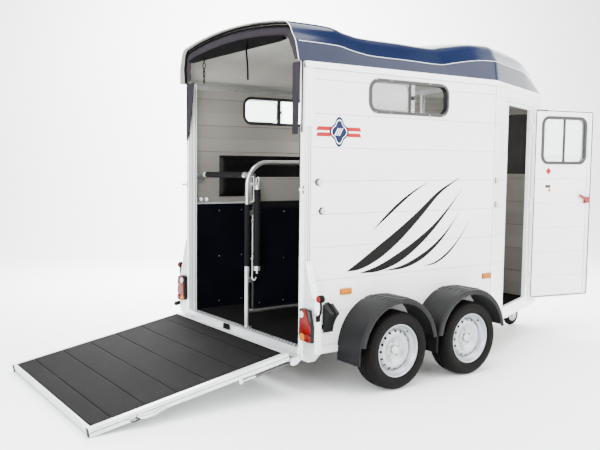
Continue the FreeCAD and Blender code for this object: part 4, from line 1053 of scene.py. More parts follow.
@dataclass
class SideGraphic:
    """A wind-swept decal of the maker's own design and a small plain badge, on both sides."""

    face: float = -BODY_HALF
    film: float = 0.5

    def ribbon(self, points: Sequence[tuple[float, float, float]]) -> Form:
        """A tapered band of film.

        Args:
            points: x, z and half width along it.

        Returns:
            The band.
        """
        fine = curve_points([at(x, w, z) for x, z, w in points], 8)
        low: list[Vector] = []
        high: list[Vector] = []
        for i, p in enumerate(fine):
            way = fine[min(len(fine) - 1, i + 1)] - fine[max(0, i - 1)]
            across = at(-way.z, 0, way.x).normalized()
            middle = at(p.x, self.face, p.z)
            low.append(middle - across * max(p.y, 0.8))
            high.append(middle + across * max(p.y, 0.8))
        rows = []
        out = at(0, -self.film, 0)
        for a, b in zip(low, high):
            rows.append([a + at(0, 0.2, 0), a + out, b + out, b + at(0, 0.2, 0)])
        return Form().grid(rows)

    def build(self) -> None:
        """Build the decals."""
        black = Form()
        for band in (((392, 868, 2), (520, 905, 30), (700, 990, 46), (900, 1110, 42), (1110, 1260, 28),
                      (1330, 1430, 13), (1560, 1545, 2)), ((520, 846, 2), (700, 868, 22), (900, 935, 34),
                                                           (1100, 1040, 28), (1290, 1170, 16),
                                                           (1470, 1330, 6), (1590, 1455, 1)),
                     ((760, 848, 1), (940, 862, 12), (1110, 912, 19), (1270, 995, 15), (1420, 1110, 8),
                      (1560, 1260, 1)), ((1180, 858, 1), (1300, 872, 7), (1440, 940, 9), (1570, 1050, 5),
                                         (1690, 1190, 1)), ((640, 1160, 1), (760, 1250, 10), (900, 1350, 12),
                                                            (1050, 1440, 7), (1200, 1510, 1))):
            black.joined(self.ribbon(band))
        black.both_sides().piece("side_decal", VINYL_BLACK, angle=40)
        self.badge()

    def badge(self) -> None:
        """A navy lozenge over two short red bars."""
        x, z = 300.0, 1873.0
        out = at(0, -self.film, 0)
        bars = Form()
        for low, high, tilt in ((-208, -80, 14), (80, 208, -14)):
            for step in (-21, 21):
                ring = [at(x + low, self.face, z + step - 14), at(x + high, self.face, z + step - 14),
                        at(x + high + tilt, self.face, z + step + 14),
                        at(x + low + tilt, self.face, z + step + 14)]
                bars.prism([p + at(0, 0.2, 0) for p in ring], out)
        bars.both_sides().piece("badge_bars", VINYL_RED)
        disc = Form()
        white = Form()
        for form, size, lift in ((disc, 1.0, 0.0), (white, 0.82, 0.4), (disc, 0.74, 0.8)):
            ring = [at(x + 76 * size * math.cos(math.radians(a)) * (1 + 0.16 * math.cos(math.radians(4 * a))),
                       self.face + 0.2 - lift,
                       z + 92 * size * math.sin(math.radians(a)) * (1 + 0.16 * math.cos(math.radians(4 * a))))
                    for a in range(0, 360, 6)]
            form.prism(ring, out)
        for shift in (-20, 0, 20):
            band = [at(x - 26 + shift, self.face - 0.9, z - 26), at(x - 16 + shift, self.face - 0.9, z - 26),
                    at(x + 16 + shift, self.face - 0.9, z + 26), at(x + 6 + shift, self.face - 0.9, z + 26)]
            white.prism(band, out)
        disc.both_sides().piece("badge_field", VINYL_NAVY)
        white.both_sides().piece("badge_lines", TRIM_WHITE)


@dataclass
class Windows:
    """Frames with their screws, inner flanges, sliding panes with a latch knob, and the front pane."""

    low: Vector = field(default_factory=lambda: at(574, 0, 2019))
    high: Vector = field(default_factory=lambda: at(1409, 0, 2274))
    corner: float = 88.0

    def outline(self, grow: float) -> list[tuple[float, float]]:
        """The frame's outline moved outwards, or inwards where it is below zero."""
        return rounded_outline(self.low.x - grow, self.high.x + grow, self.low.z - grow, self.high.z + grow,
                               self.corner + grow)

    def ring(self, y: float, thickness: float, grow: float, width: float) -> Form:
        """A flat ring round the window.

        Args:
            y: its face.
            thickness: how far it goes from there.
            grow: how far it passes the frame's outline.
            width: how wide it is.

        Returns:
            The ring.
        """
        outer, inner = self.outline(grow), self.outline(grow - width)
        far = y + thickness
        return Form().ring([[at(x, depth, z) for x, z in line]
                            for depth, line in ((y, outer), (far, outer), (far, inner), (y, inner))])

    def build(self) -> None:
        """Build what the CAD frames don't have, and dress them."""
        dress("side_window_frames", WINDOW_GREY, choose=lambda p, n: 1 if abs(p.y) < BODY_HALF - 1 else 0,
              others=[WINDOW_BLACK])
        dress_each({"side_window_glass": CLEAR_ACRYLIC, "nose_window": TINTED_ACRYLIC})
        flange = self.ring(-INNER_Y, 5.0, 2.0, 26.0)
        flange.box(at(978, -INNER_Y, self.low.z + 20), at(998, -INNER_Y + 5, self.high.z - 20))
        flange.both_sides().piece("inner_window_flanges", WINDOW_BLACK, bevel=1.0)
        bead = self.ring(-BODY_HALF - 8.6, 1.6, -14.0, 6.0)
        bead.both_sides().piece("window_beads", WINDOW_BLACK)
        screws = Form()
        for x in (640, 790, 1194, 1344):
            for z in (self.low.z + 9, self.high.z - 9):
                screws.revolve([(0, 5), (1.4, 4.4), (2.2, 2), (2.3, 0.5)], at(x, -BODY_HALF - 8, z), RIGHT, 0,
                               12)
        screws.both_sides().piece("window_screws", ZINC)
        latch = Form()
        latch.box(at(1006, -BODY_HALF - 3, 2135), at(1030, -BODY_HALF + 9, 2160))
        latch.revolve([(0, 14), (3, 17), (15, 17), (19, 13), (20, 2)], at(1018, -BODY_HALF - 3, 2148), RIGHT,
                      0, 24)
        latch.box(at(999, -BODY_HALF + 1, self.low.z + 23), at(1040, -BODY_HALF + 5, self.high.z - 23), 1)
        latch.both_sides().piece("window_latches", WINDOW_BLACK, CLEAR_ACRYLIC, bevel=1.0)
        pane = rounded_outline(self.low.x + 26, 978, self.low.z + 26, self.high.z - 26, self.corner - 30)
        seal = [[at(x, -BODY_HALF - 1.0 + d, z) for x, z in pane] for d in (0.0, 2.0)]
        dull = rounded_outline(self.low.x + 31, 973, self.low.z + 31, self.high.z - 31, self.corner - 35)
        seal += [[at(x, -BODY_HALF + 1.0, z) for x, z in dull], [at(x, -BODY_HALF - 1.0, z) for x, z in dull]]
        Form().ring(seal).both_sides().piece("pane_seals", WINDOW_BLACK)


@dataclass
class TackDoor:
    """The open door on the right nose panel with its planked faces, trims, seal, signs and handle."""

    start: float = 332.0
    opening: float = 700.0
    lap: float = 12.0
    low: float = 390.0
    high: float = 2173.0
    thickness: float = 26.0
    gap: float = 10.0
    swing: float = math.radians(147.7)
    hinge_reach: float = 26.0
    stand_off: float = 21.0

    def place(self) -> Matrix:
        """Carries a shape drawn on the shut door to where it is, open."""
        hinge = nose_place() @ at(self.start + self.opening + self.hinge_reach, -self.stand_off, 0)
        return (Matrix.Translation(hinge) @ Matrix.Rotation(self.swing, 4, "Z") @ Matrix.Translation(-hinge)
                @ nose_place())

    def build(self, shell: BodyShell) -> None:
        """Build the door's trims.

        Args:
            shell: the body, whose planks the door repeats.
        """
        place = self.place()
        x0, x1 = self.start - self.lap, self.start + self.opening + self.lap
        z0, z1 = self.low - self.lap, self.high + self.lap
        outer_y = -self.gap - self.thickness
        dress_each({"tack_door_leaf": PLANK_WHITE, "tack_door_window_frame": WINDOW_BLACK,
                    "tack_door_glass": CLEAR_ACRYLIC, "tack_door_latch": RED_PLASTIC,
                    "door_frame": TRIM_WHITE})
        pane = rounded_outline(x0 + 80, x0 + 642, z1 - 520, z1 - 60, 84)
        hole = Form().prism([at(x, -100, z) for x, z in pane], at(0, 200, 0)).moved(place)
        for name, face, way in (("door_planks_in", -self.gap, 1), ("door_planks_out", outer_y, -1)):
            def ends(depth: float, face: float = face, way: int = way) -> tuple[Vector, Vector]:
                """Both ends of the plank skin, whose grooves are shallower than the wall's, at a depth."""
                y = face + way * (1.3 - 0.45 * depth)
                return at(x0 + 26, y, 0), at(x1 - 26, y, 0)
            skin = shell.wall(ends, z0 + 26, z1 - 26, 6.0).moved(place)
            cut_away(skin.piece(name, PLANK_WHITE, PLANK_WHITE, body="tack_door"), hole)
        trim = Form()
        for face, out in ((-self.gap, 2.4), (outer_y, -2.4)):
            low_y, high_y = sorted((face, face + out))
            for a, b, c, d in ((x0, x0 + 27, z0, z1), (x1 - 27, x1, z0, z1), (x0 + 27, x1 - 27, z0, z0 + 27),
                               (x0 + 27, x1 - 27, z1 - 27, z1)):
                trim.box(at(a, low_y, c), at(b, high_y, d))
        trim.moved(place).piece("door_edge_trims", ANODISED, body="tack_door", bevel=0.6)
        self.fittings(place, x0, x1, z0, z1)

    def fittings(self, place: Matrix, x0: float, x1: float, z0: float, z1: float) -> None:
        """Rubber seal, lock strip, screws, three small blank signs and the outer handle.

        Args:
            place: carries the shut door to where it is.
            x0: the door's free edge.
            x1: its hinge edge.
            z0: its foot.
            z1: its top.
        """
        inner = -self.gap
        black = Form()
        seal_out = rounded_outline(x0 + 12, x1 - 12, z0 + 12, z1 - 12, 20)
        black.sweep([at(x, inner + 3.5, z) for x, z in seal_out], 4.0, 0, 8, closed=True)
        black.box(at(x1 - 150, inner - 1, z1 - 15), at(x1 - 14, inner + 7, z1 - 4))
        black.box(at(x0 + 61, inner - 1, z0 + 30), at(x0 + 62.6, inner + 2.6, z1 - 30))
        black.moved(place).piece("door_seal", BELLOWS, body="tack_door", bevel=1.0)
        metal = Form()
        metal.box(at(x0 + 44, inner - 1, z0 + 28), at(x0 + 61, inner + 3.4, z1 - 28))
        for z in (1275, 1369):
            metal.revolve([(0, 5), (2.4, 4), (3, 1)], at(x0 + 52, inner + 3.4, z), LEFT, 0, 12)
        for z in (z0 + 180, (z0 + z1) / 2, z1 - 180):
            for dz in (-26, 0, 26):
                metal.revolve([(0, 5), (2, 4), (2.6, 1)], at(x1 - 13, inner + 2.4, z + dz), LEFT, 0, 12)
        metal.moved(place).piece("door_lock_strip", ANODISED, body="tack_door")
        signs = Form()
        for finish, ring in enumerate((
                [(x1 - 215, 1600), (x1 - 180, 1565), (x1 - 145, 1600), (x1 - 180, 1635)],
                [(x1 - 212, 1440), (x1 - 148, 1440), (x1 - 148, 1468), (x1 - 212, 1468)],
                [(x1 - 212, 1404), (x1 - 184, 1404), (x1 - 184, 1430), (x1 - 212, 1430)])):
            signs.prism([at(x, inner + 0.8, z) for x, z in ring], at(0, 1.0, 0), finish)
        signs.moved(place).piece("door_signs", VINYL_RED, WINDOW_GREY, LENS_AMBER, body="tack_door")
        outer = -self.gap - self.thickness
        rose = Form().revolve([(0, 34), (4, 34), (7, 30), (7, 12), (22, 11), (26, 9), (26, 1)],
                              at(x0 + 67, outer, 1320), RIGHT, 0, 32)
        rose.box(at(x0 + 60, outer - 34, 1308), at(x0 + 172, outer - 22, 1332))
        rose.moved(place).piece("door_outer_handle", BLACK_ENAMEL, body="tack_door", bevel=2.0)


@dataclass
class Wheels:
    """Four road wheels: treaded tyres, pressed rims with a ring of holes, hub caps, bolts and drums."""

    outer_y: float = 1116.0
    width: float = 195.0
    radius: float = WHEEL_RADIUS
    seat: float = 189.3
    lip: float = 195.7
    ribs: tuple[float, ...] = (-52.0, -20.0, 20.0, 52.0)
    blocks: int = 60
    shoulder: float = 58.0
    shoulder_cut: float = 4.5
    vents: int = 16
    vent_ring: float = 139.0
    vent_radius: float = 10.2
    bolts: int = 5
    bolt_ring: float = 56.0

    def tyre(self, x: float) -> Form:
        """A right tyre with four grooves and cut shoulders.

        Args:
            x: where the axle is.

        Returns:
            Its form.
        """
        middle = self.outer_y - self.width / 2
        half = self.width / 2
        tread = half - 48
        side = [(half - 22.4, self.seat), (half - 19.4, self.lip), (half - 9, self.seat + 12),
                (half - 5, self.seat + 18), (half - 4.2, self.seat + 21), (half - 1.4, self.seat + 40),
                (half, self.seat + 50), (half - 1.2, self.radius - 40), (half - 3.2, self.radius - 37),
                (half - 3.0, self.radius - 33), (half - 6, self.radius - 25), (half - 14, self.radius - 13),
                (half - 22, self.radius - 7)]
        crown: list[tuple[float, float]] = []
        for groove in sorted(self.ribs, reverse=True):
            rise = self.radius - 3.0 * (abs(groove) / tread) ** 2
            crown += [(groove + 5, rise), (groove + 4, rise - 7), (groove - 4, rise - 7), (groove - 5, rise)]
        profile = side + [(tread + 2, self.radius - 2)] + crown + [(-tread - 2, self.radius - 2)]
        profile += [(-a, r) for a, r in reversed(side)]
        count = self.blocks * 3
        rows = []
        for i in range(count):
            turn = 2 * math.pi * i / count
            row = []
            for along, r in profile:
                past = abs(along) - self.shoulder
                shoulder = past > 0 and r > self.radius - 20
                cut = self.shoulder_cut if shoulder and i % 3 == 0 else 0.0
                angle = turn + (2 * math.pi / count * 0.8 * past / 20 if shoulder else 0)
                row.append(at(x + (r - cut) * math.cos(angle), -middle - along,
                              self.radius + (r - cut) * math.sin(angle)))
            rows.append(row)
        return Form().ring(rows)

    def build(self) -> None:
        """Build the tyres in place of their CAD nodes and dress the rims."""
        for place, x in zip(("rear", "front"), AXLES_X):
            for side in ("right", "left"):
                tyre = self.tyre(x)
                disc = -self.outer_y + self.width / 2 - 30
                valve = Form().revolve([(0, 5.5), (14, 4.2), (20, 3.4), (20, 1)],
                                       at(x + 96, disc - 34, self.radius + 132), at(-0.2, -1, -0.25), 0, 12)
                rim = self.rim(x, disc)
                if side == "left":
                    for form in (tyre, valve, *rim.values()):
                        form.moved(FLIP)
                body = f"wheel_{place}_{side}"
                tyre.piece(f"treaded_tyre_{place}_{side}", TYRE_RUBBER, body=body, angle=24,
                           replaces=[f"tyre_{place}_{side}"])
                valve.piece(f"valve_{place}_{side}", BELLOWS, body=body)
                rim["barrel"].piece(f"rim_barrel_{place}_{side}", WHEEL_ENAMEL, body=body, angle=40,
                                    replaces=[f"rim_{place}_{side}"])
                plate = rim["plate"].piece(f"rim_disc_{place}_{side}", WHEEL_ENAMEL, body=body)
                cut_away(plate, rim["holes"], 40)
                rim["bolts"].piece(f"hub_bolts_{place}_{side}", ZINC, body=body, bevel=1.0)
                rim["drum"].piece(f"brake_drum_{place}_{side}", BLACK_ENAMEL, body=body)
        dress("axles", GALVANISED)

    def rim(self, x: float, disc: float) -> dict[str, Form]:
        """The right wheel's rim, plate with its ring of holes, hub cap with bolts, and drum.

        Args:
            x: where its axle is.
            disc: Y of the plate's mounting face.

        Returns:
            The forms by name.
        """
        hub, out = at(x, disc, self.radius), LEFT
        edge = -self.outer_y + 14 - disc
        far = -self.outer_y + self.width - 14 - disc
        barrel = [(edge, 191), (edge + 1, 194.4), (edge + 3, 195.3), (edge + 5, 194.6), (edge + 8, 188.3),
                  (edge + 20, 184), (edge + 34, 178), (edge + 42, 163), (edge + 52, 158), (far - 52, 158),
                  (far - 34, 178), (far - 8, 188.3), (far - 5, 195.3), (far, 195.3), (far - 4, 184.3),
                  (far - 32, 174), (far - 50, 154), (edge + 50, 154), (edge + 40, 159), (edge + 32, 174),
                  (edge + 18, 180.2), (edge + 5, 184.6), (edge + 2, 187)]
        face = [(-1.0, 34.0), (-1.0, 60.0), (-2.0, 68.0), (-6.0, 76.0), (-14.0, 90.0), (-20.0, 102.0),
                (-23.0, 110.0), (-24.0, 118.0), (-23.0, 127.0), (-18.0, 136.0), (-9.0, 147.0), (2.0, 153.0),
                (10.0, 156.0)]
        back = [(along + 5.0, r - 1.0) for along, r in reversed(face)]
        holes = Form()
        for i in range(self.vents):
            turn = 2 * math.pi * i / self.vents
            spot = hub + at(self.vent_ring * math.cos(turn), -60, self.vent_ring * math.sin(turn))
            holes.revolve([(0, self.vent_radius), (120, self.vent_radius)], spot, out, 0, 20)
        bolts = Form().revolve([(-27, 1), (-27, 17), (-25.5, 22), (-22, 24), (-21, 29), (-17, 32), (2, 33.5)],
                               hub, out, 0, 40)
        for i in range(self.bolts):
            turn = 2 * math.pi * (i + 0.25) / self.bolts
            spot = hub + at(self.bolt_ring * math.cos(turn), 0, self.bolt_ring * math.sin(turn))
            bolts.revolve([(-15, 1), (-15, 7), (-13.5, 9.6), (-3, 9.6)], spot, out, 0, 6)
            bolts.revolve([(-3.5, 9), (-3, 13), (-0.5, 14), (0, 14)], spot, out, 0, 24)
        drum = Form().revolve([(7, 40), (7, 105), (10, 111), (40, 112), (42, 108), (50, 108), (52, 112),
                               (126, 112), (128, 108), (128, 40)], hub, out, 0, 48)
        return {"barrel": Form().revolve(barrel, hub, out, 0, 72, True),
                "plate": Form().revolve(face + back, hub, out, 0, 96, True), "holes": holes, "bolts": bolts,
                "drum": drum}


@dataclass
class Mudguards:
    """Four moulded guards: flat crown with ribs, rounded shoulder and a deep outer lip."""

    inner_y: float = BODY_HALF
    outer_y: float = 1130.0
    sheet: float = 4.0
    radius: float = 382.0
    shift: float = -5.0
    rise: float = 12.0
    rib_ys: tuple[float, ...] = (915.0, 970.0, 1025.0, 1080.0)

    def arch(self, x: float) -> Form:
        """One guard on the right side: a straight flap behind the wheel, the arch and its deep lip.

        Args:
            x: where its axle is.

        Returns:
            Its form.
        """
        centre = at(x + self.shift, 0, WHEEL_RADIUS + self.rise)
        rows = []
        for z in (226.0, 262.0, centre.z):
            rows.append(self.section(at(centre.x - self.radius, 0, z), REAR, 0.0, 6.0, 12.0))
        for degrees in (176.0, 171.6, 171.2, *range(168, 8, -4), 8.7):
            angle = math.radians(degrees)
            way = at(math.cos(angle), 0, math.sin(angle))
            flat = (self.radius - 6) / math.sin(angle) if math.sin(angle) > 0.5 else self.radius
            reach = min(self.radius, flat)
            spot = centre + way * reach
            rib = 5.0 * min(1.0, max(0.0, (112 - abs(spot.x - centre.x)) / 10))
            lip, inset = (6.0, 12.0) if degrees > 171.4 else (reach - self.radius + 42.0, 0.0)
            rows.append(self.section(spot, way, rib, lip, inset))
        return Form().grid(rows)

    def section(self, spot: Vector, way: Vector, rib: float, lip: float, inset: float) -> list[Vector]:
        """One section of the guard.

        Args:
            spot: the skin's point at this place.
            way: straight out from the wheel's middle.
            rib: how high the ribs stand here.
            lip: how deep the outer lip is.
            inset: how far the outer edge is set back.

        Returns:
            A closed ring of points.
        """
        far = self.outer_y - inset
        outer: list[tuple[float, float]] = [(self.inner_y, 0.0)]
        for y in self.rib_ys:
            outer += [(y - 14, 0.0), (y - 11, rib), (y + 11, rib), (y + 14, 0.0)]
        outer += [(far - 16, 0.0), (far - 9, -1.2), (far - 3, -4.5), (far - 0.5, -10.0), (far, -16.0),
                  (far, 3 - lip), (far - 1.5, -lip)]
        inner = [(far - self.sheet, -lip), (far - self.sheet, -18.0), (far - 9, -8.0),
                 (far - 18, -self.sheet), (self.inner_y, -self.sheet)]
        return [at(spot.x, -y, spot.z) + way * max(rise, -lip) for y, rise in outer + inner]

    def build(self) -> None:
        """Build the guards in place of their CAD node."""
        form = Form()
        for x in AXLES_X:
            form.joined(self.arch(x))
        form.both_sides().piece("moulded_mudguards", MOULDED_BLACK, angle=30, replaces=["mudguards"])
        screws = Form()
        for x in AXLES_X:
            for dx in (-150, -50, 50, 150):
                screws.revolve([(0, 7), (2, 6.4), (3.4, 3), (3.6, 1)],
                               at(x + dx, -self.inner_y - 12,
                                  WHEEL_RADIUS + self.rise + self.radius - 6 + self.drop(dx)), UP, 0, 14)
        screws.both_sides().piece("mudguard_screws", ZINC)

    def drop(self, dx: float) -> float:
        """How far the crown is below its flat top at a distance from the axle."""
        x = abs(dx - self.shift)
        return min(0.0, math.sqrt(max(0.0, self.radius ** 2 - x ** 2)) - self.radius + 6)


@dataclass
class RearFrame:
    """Posts with their grooved strips and catch studs, threshold, ramp buffer, chocks and hinge arms."""

    def build(self) -> None:
        """Build what the CAD frame doesn't have, and dress it."""
        def choose(p: Vector, n: Vector) -> int:
            """White posts, a zinc-plated tread on the threshold and galvanised boards."""
            if 800 < abs(p.y) < 871 and p.z > 300:
                return 1
            return 2 if abs(p.y) < 800 and n.z > 0.5 else 0
        dress("rear_frame", GALVANISED, choose=choose, others=[TRIM_WHITE, ZINC])
        strip, y = Form(), -BODY_HALF - 0.1
        for x in (8.0, 22.0, 38.0, 54.0):
            strip.box(at(x - 5.2, y - 3.0, 968), at(x + 5.2, y + 0.6, 1898))
        strip.both_sides().piece("corner_strip_ridges", ANODISED, bevel=1.0)
        bed = Form().box(at(2, -BODY_HALF - 1.0, 968), at(60, -BODY_HALF + 0.4, 1898))
        bed.box(at(1, -BODY_HALF - 1.4, 1898), at(62, -BODY_HALF + 0.4, 1901))
        bed.both_sides().piece("corner_strip_beds", WINDOW_GREY)
        seal = Form().sweep([at(-0.6, -811, 345), at(-0.6, -811, 1925)], 4.0, 0, 12, 0.9)
        for x in (19.0, 51.0):
            seal.box(at(x - 1.6, -805.2, 345), at(x + 1.6, -803.4, 2300))
        seal.both_sides().piece("post_seals", BELLOWS, angle=60)
        pins = Form().revolve([(0, 8), (34, 8), (36, 12), (42, 12), (44, 9), (44, 1)],
                              at(0, -861, CATCH_Z), REAR, 0, 20)
        pins.box(at(-4, -869, 1438), at(0.5, -848, 1494))
        pins.both_sides().piece("ramp_catch_studs", CHROMED, bevel=1.0)
        dress_each({"ramp_hinge_arms": GALVANISED, "wall_fittings": ZINC})
        self.threshold()
        self.chocks()

    def threshold(self) -> None:
        """Grip studs, dark joints and a bright edge along the threshold, the ramp buffer and a grip."""
        studs = Form()
        for row, x in enumerate((14.0, 33.0, 52.0)):
            for i in range(39):
                y = -780 + i * 41 + (20 if row % 2 else 0)
                studs.revolve([(0, 9), (1.2, 8), (2.2, 5), (2.6, 1)], at(x, y, 338.6), UP, 0, 10)
        studs.piece("threshold_studs", GALVANISED)
        lines = Form()
        for x in (11.0, 54.0):
            lines.box(at(x - 3.5, -800, 338), at(x + 3.5, 800, 339.5))
        lines.piece("threshold_joints", BELLOWS)
        edge = Form().box(at(-3, -800, 300), at(0.5, 800, 334))
        edge.box(at(-5, -800, 330), at(6, 800, 340))
        edge.piece("threshold_edge", ANODISED, bevel=1.2)
        buffer = Form().box(at(-16, 112, 292), at(-4, 204, 332))
        buffer.tube(at(-9, 120, 331), at(-9, 196, 331), 7, 0, 20)
        buffer.piece("ramp_buffer", BELLOWS, bevel=4.0)
        grip = Form().sweep([at(14, 985, 398), at(8, 1002, 382), at(0, 1012, 372)], 6, 0, 12)
        grip.revolve([(0, 12), (4, 18), (66, 21), (74, 18), (78, 8)], at(0, 1008, 376), at(-0.1, 1, -0.3), 0,
                     24)
        grip.piece("left_prop_grip", BELLOWS, angle=50)

    def chocks(self) -> None:
        """A hollow-faced wedge hung on each side behind the lamps, with grip bars and its strap."""
        arc = arc_points(at(0, -968, 584), at(0, -921, 520), at(0, -900, 446), 10)
        ring = [at(0, -888, 446), at(0, -888, 650), at(0, -896, 651), at(0, -970, 594)] + arc
        form = Form().prism([p + at(160, 0, 0) for p in ring], at(86, 0, 0))
        for i in range(1, 10, 2):
            p = arc[i] + at(164, 0, 0)
            form.box(p + at(0, -3.5, -2.5), p + at(78, 2, 2.5))
        form.box(at(188, -900, 640), at(216, -872, 655))
        form.both_sides().piece("wheel_chock_wedges", MOULDED_BLACK, bevel=2.0, replaces=["wheel_chocks"])
        strap = Form().sweep([at(202, -874, 652), at(202, -893, 656), at(202, -935, 627), at(202, -972, 596),
                              at(202, -966, 580)], 11, 0, 10, 0.2)
        strap.box(at(150, -880, 470), at(256, -869, 500))
        strap.both_sides().piece("chock_holders", BELLOWS, bevel=0.6)


@dataclass
class Lamps:
    """Tail lamp clusters with their lenses, amber side markers and outline lamps on rubber arms."""

    board_outer: float = LAMP_BOARD_OUTER
    low: float = 407.0
    high: float = 640.0
    depth: float = 34.0
    side_markers: tuple[float, float] = (330.0, 1866.0)

    def lens(self, outline: Pairs, depth: float) -> Form:
        """A domed lens over an outline on the rear face.

        Args:
            outline: pairs of y and z round it.
            depth: how far it stands to the rear.

        Returns:
            The lens.
        """
        cy = sum(p[0] for p in outline) / len(outline)
        cz = sum(p[1] for p in outline) / len(outline)
        steps = ((1.0, 0.0), (1.0, depth * 0.72), (0.965, depth * 0.92), (0.9, depth))
        return Form().grid([[at(-self.depth + 6 - back, cy + (y - cy) * share, cz + (z - cz) * share)
                             for y, z in outline] for share, back in steps])

    def build(self) -> None:
        """Build the lenses in place of the plain lamp blocks."""
        inner, outer = -BODY_HALF + 18, -self.board_outer + 5
        housing = [(inner, self.low + 40), (inner - 20, self.low + 14), (outer + 56, self.low),
                   (outer, self.low + 4), (outer, self.high - 120), (outer + 31, self.high - 4),
                   (inner - 28, self.high), (inner - 4, self.high - 6)]
        cy, cz = (inner + outer) / 2, (self.low + self.high) / 2
        steps = ((1.0, 0.0), (1.0, -self.depth + 12), (0.97, -self.depth + 7), (0.93, -self.depth + 6))
        back = Form().grid([[at(x, cy + (y - cy) * share, cz + (z - cz) * share) for y, z in housing]
                            for share, x in steps])
        back.both_sides().piece("tail_lamp_housings", MOULDED_BLACK, bevel=1.5, replaces=["tail_lamps"])
        red = self.lens([(-869, 466), (-867, 560), (-880, 618), (-916, 642), (-934, 640), (-992, 522),
                         (-992, 478), (-936, 462)], 8)
        red.joined(self.disc(-964, 441, 30))
        red.both_sides().piece("red_lamp_lenses", LENS_RED, angle=40)
        self.disc(-898, 441, 29).both_sides().piece("amber_lamp_lenses", LENS_AMBER, angle=40)
        clear = self.disc(-896, 600, 24).moved(Matrix.Translation((-7, 0, 0)))
        reflector = self.lens([(-950, 634), (-980, 628), (-992, 556), (-978, 556)], 6)
        reflector.both_sides().piece("side_reflectors", LENS_SMOKED, angle=40)
        clear.both_sides().piece("clear_lamp_lenses", LENS_CLEAR, angle=40)
        self.markers()

    def disc(self, y: float, z: float, radius: float) -> Form:
        """A round domed lens."""
        return Form().revolve([(0, radius), (6, radius), (9, radius - 3), (10.5, radius - 9), (11, 1)],
                              at(-self.depth + 6, y, z), REAR, 0, 32)

    def markers(self) -> None:
        """Amber markers on the sides and outline lamps on bent rubber arms."""
        amber = Form()
        base = Form()
        for x in self.side_markers:
            for form, corner, steps in ((amber, 6, ((0, 3), (0, 9), (2, 12), (5, 13.5))),
                                        (base, 7, ((-1, 0), (-1, 3.4)))):
                form.grid([[at(a, -BODY_HALF - out, b)
                            for a, b in rounded_outline(x + inset, x + 104 - inset, 700 + inset, 745 - inset,
                                                        corner)] for inset, out in steps])
        amber.both_sides().piece("side_marker_lenses", LENS_AMBER, angle=40)
        base.both_sides().piece("side_marker_bases", MOULDED_BLACK)
        arm = Form()
        y = -self.board_outer
        lamp_y, lamp_z = y - 29, 722
        arm.box(at(10, y - 10, 560), at(40, y, 600))
        arm.sweep(curve_points([at(25, y - 10, 585), at(25, y - 26, 618), at(25, y - 34, 660),
                                at(25, lamp_y, 700)], 5), 10, 0, 14, 0.8)
        arm.revolve([(0, 25), (3, 26.5), (36, 26.5), (39, 25)], at(5.5, lamp_y, lamp_z), AHEAD, 0, 28)
        arm.both_sides().piece("outline_lamp_arms", BELLOWS, angle=45, replaces=["marker_lamps"])
        for name, x, way, finish in (("outline_lens_rear", 5.5, -1, LENS_RED),
                                     ("outline_lens_front", 44.5, 1, LENS_CLEAR)):
            lens = Form().revolve([(0, 22), (4, 22), (9, 17), (11, 9), (11.5, 1)], at(x, lamp_y, lamp_z),
                                  at(way, 0, 0), 0, 28)
            lens.both_sides().piece(name, finish, angle=50)


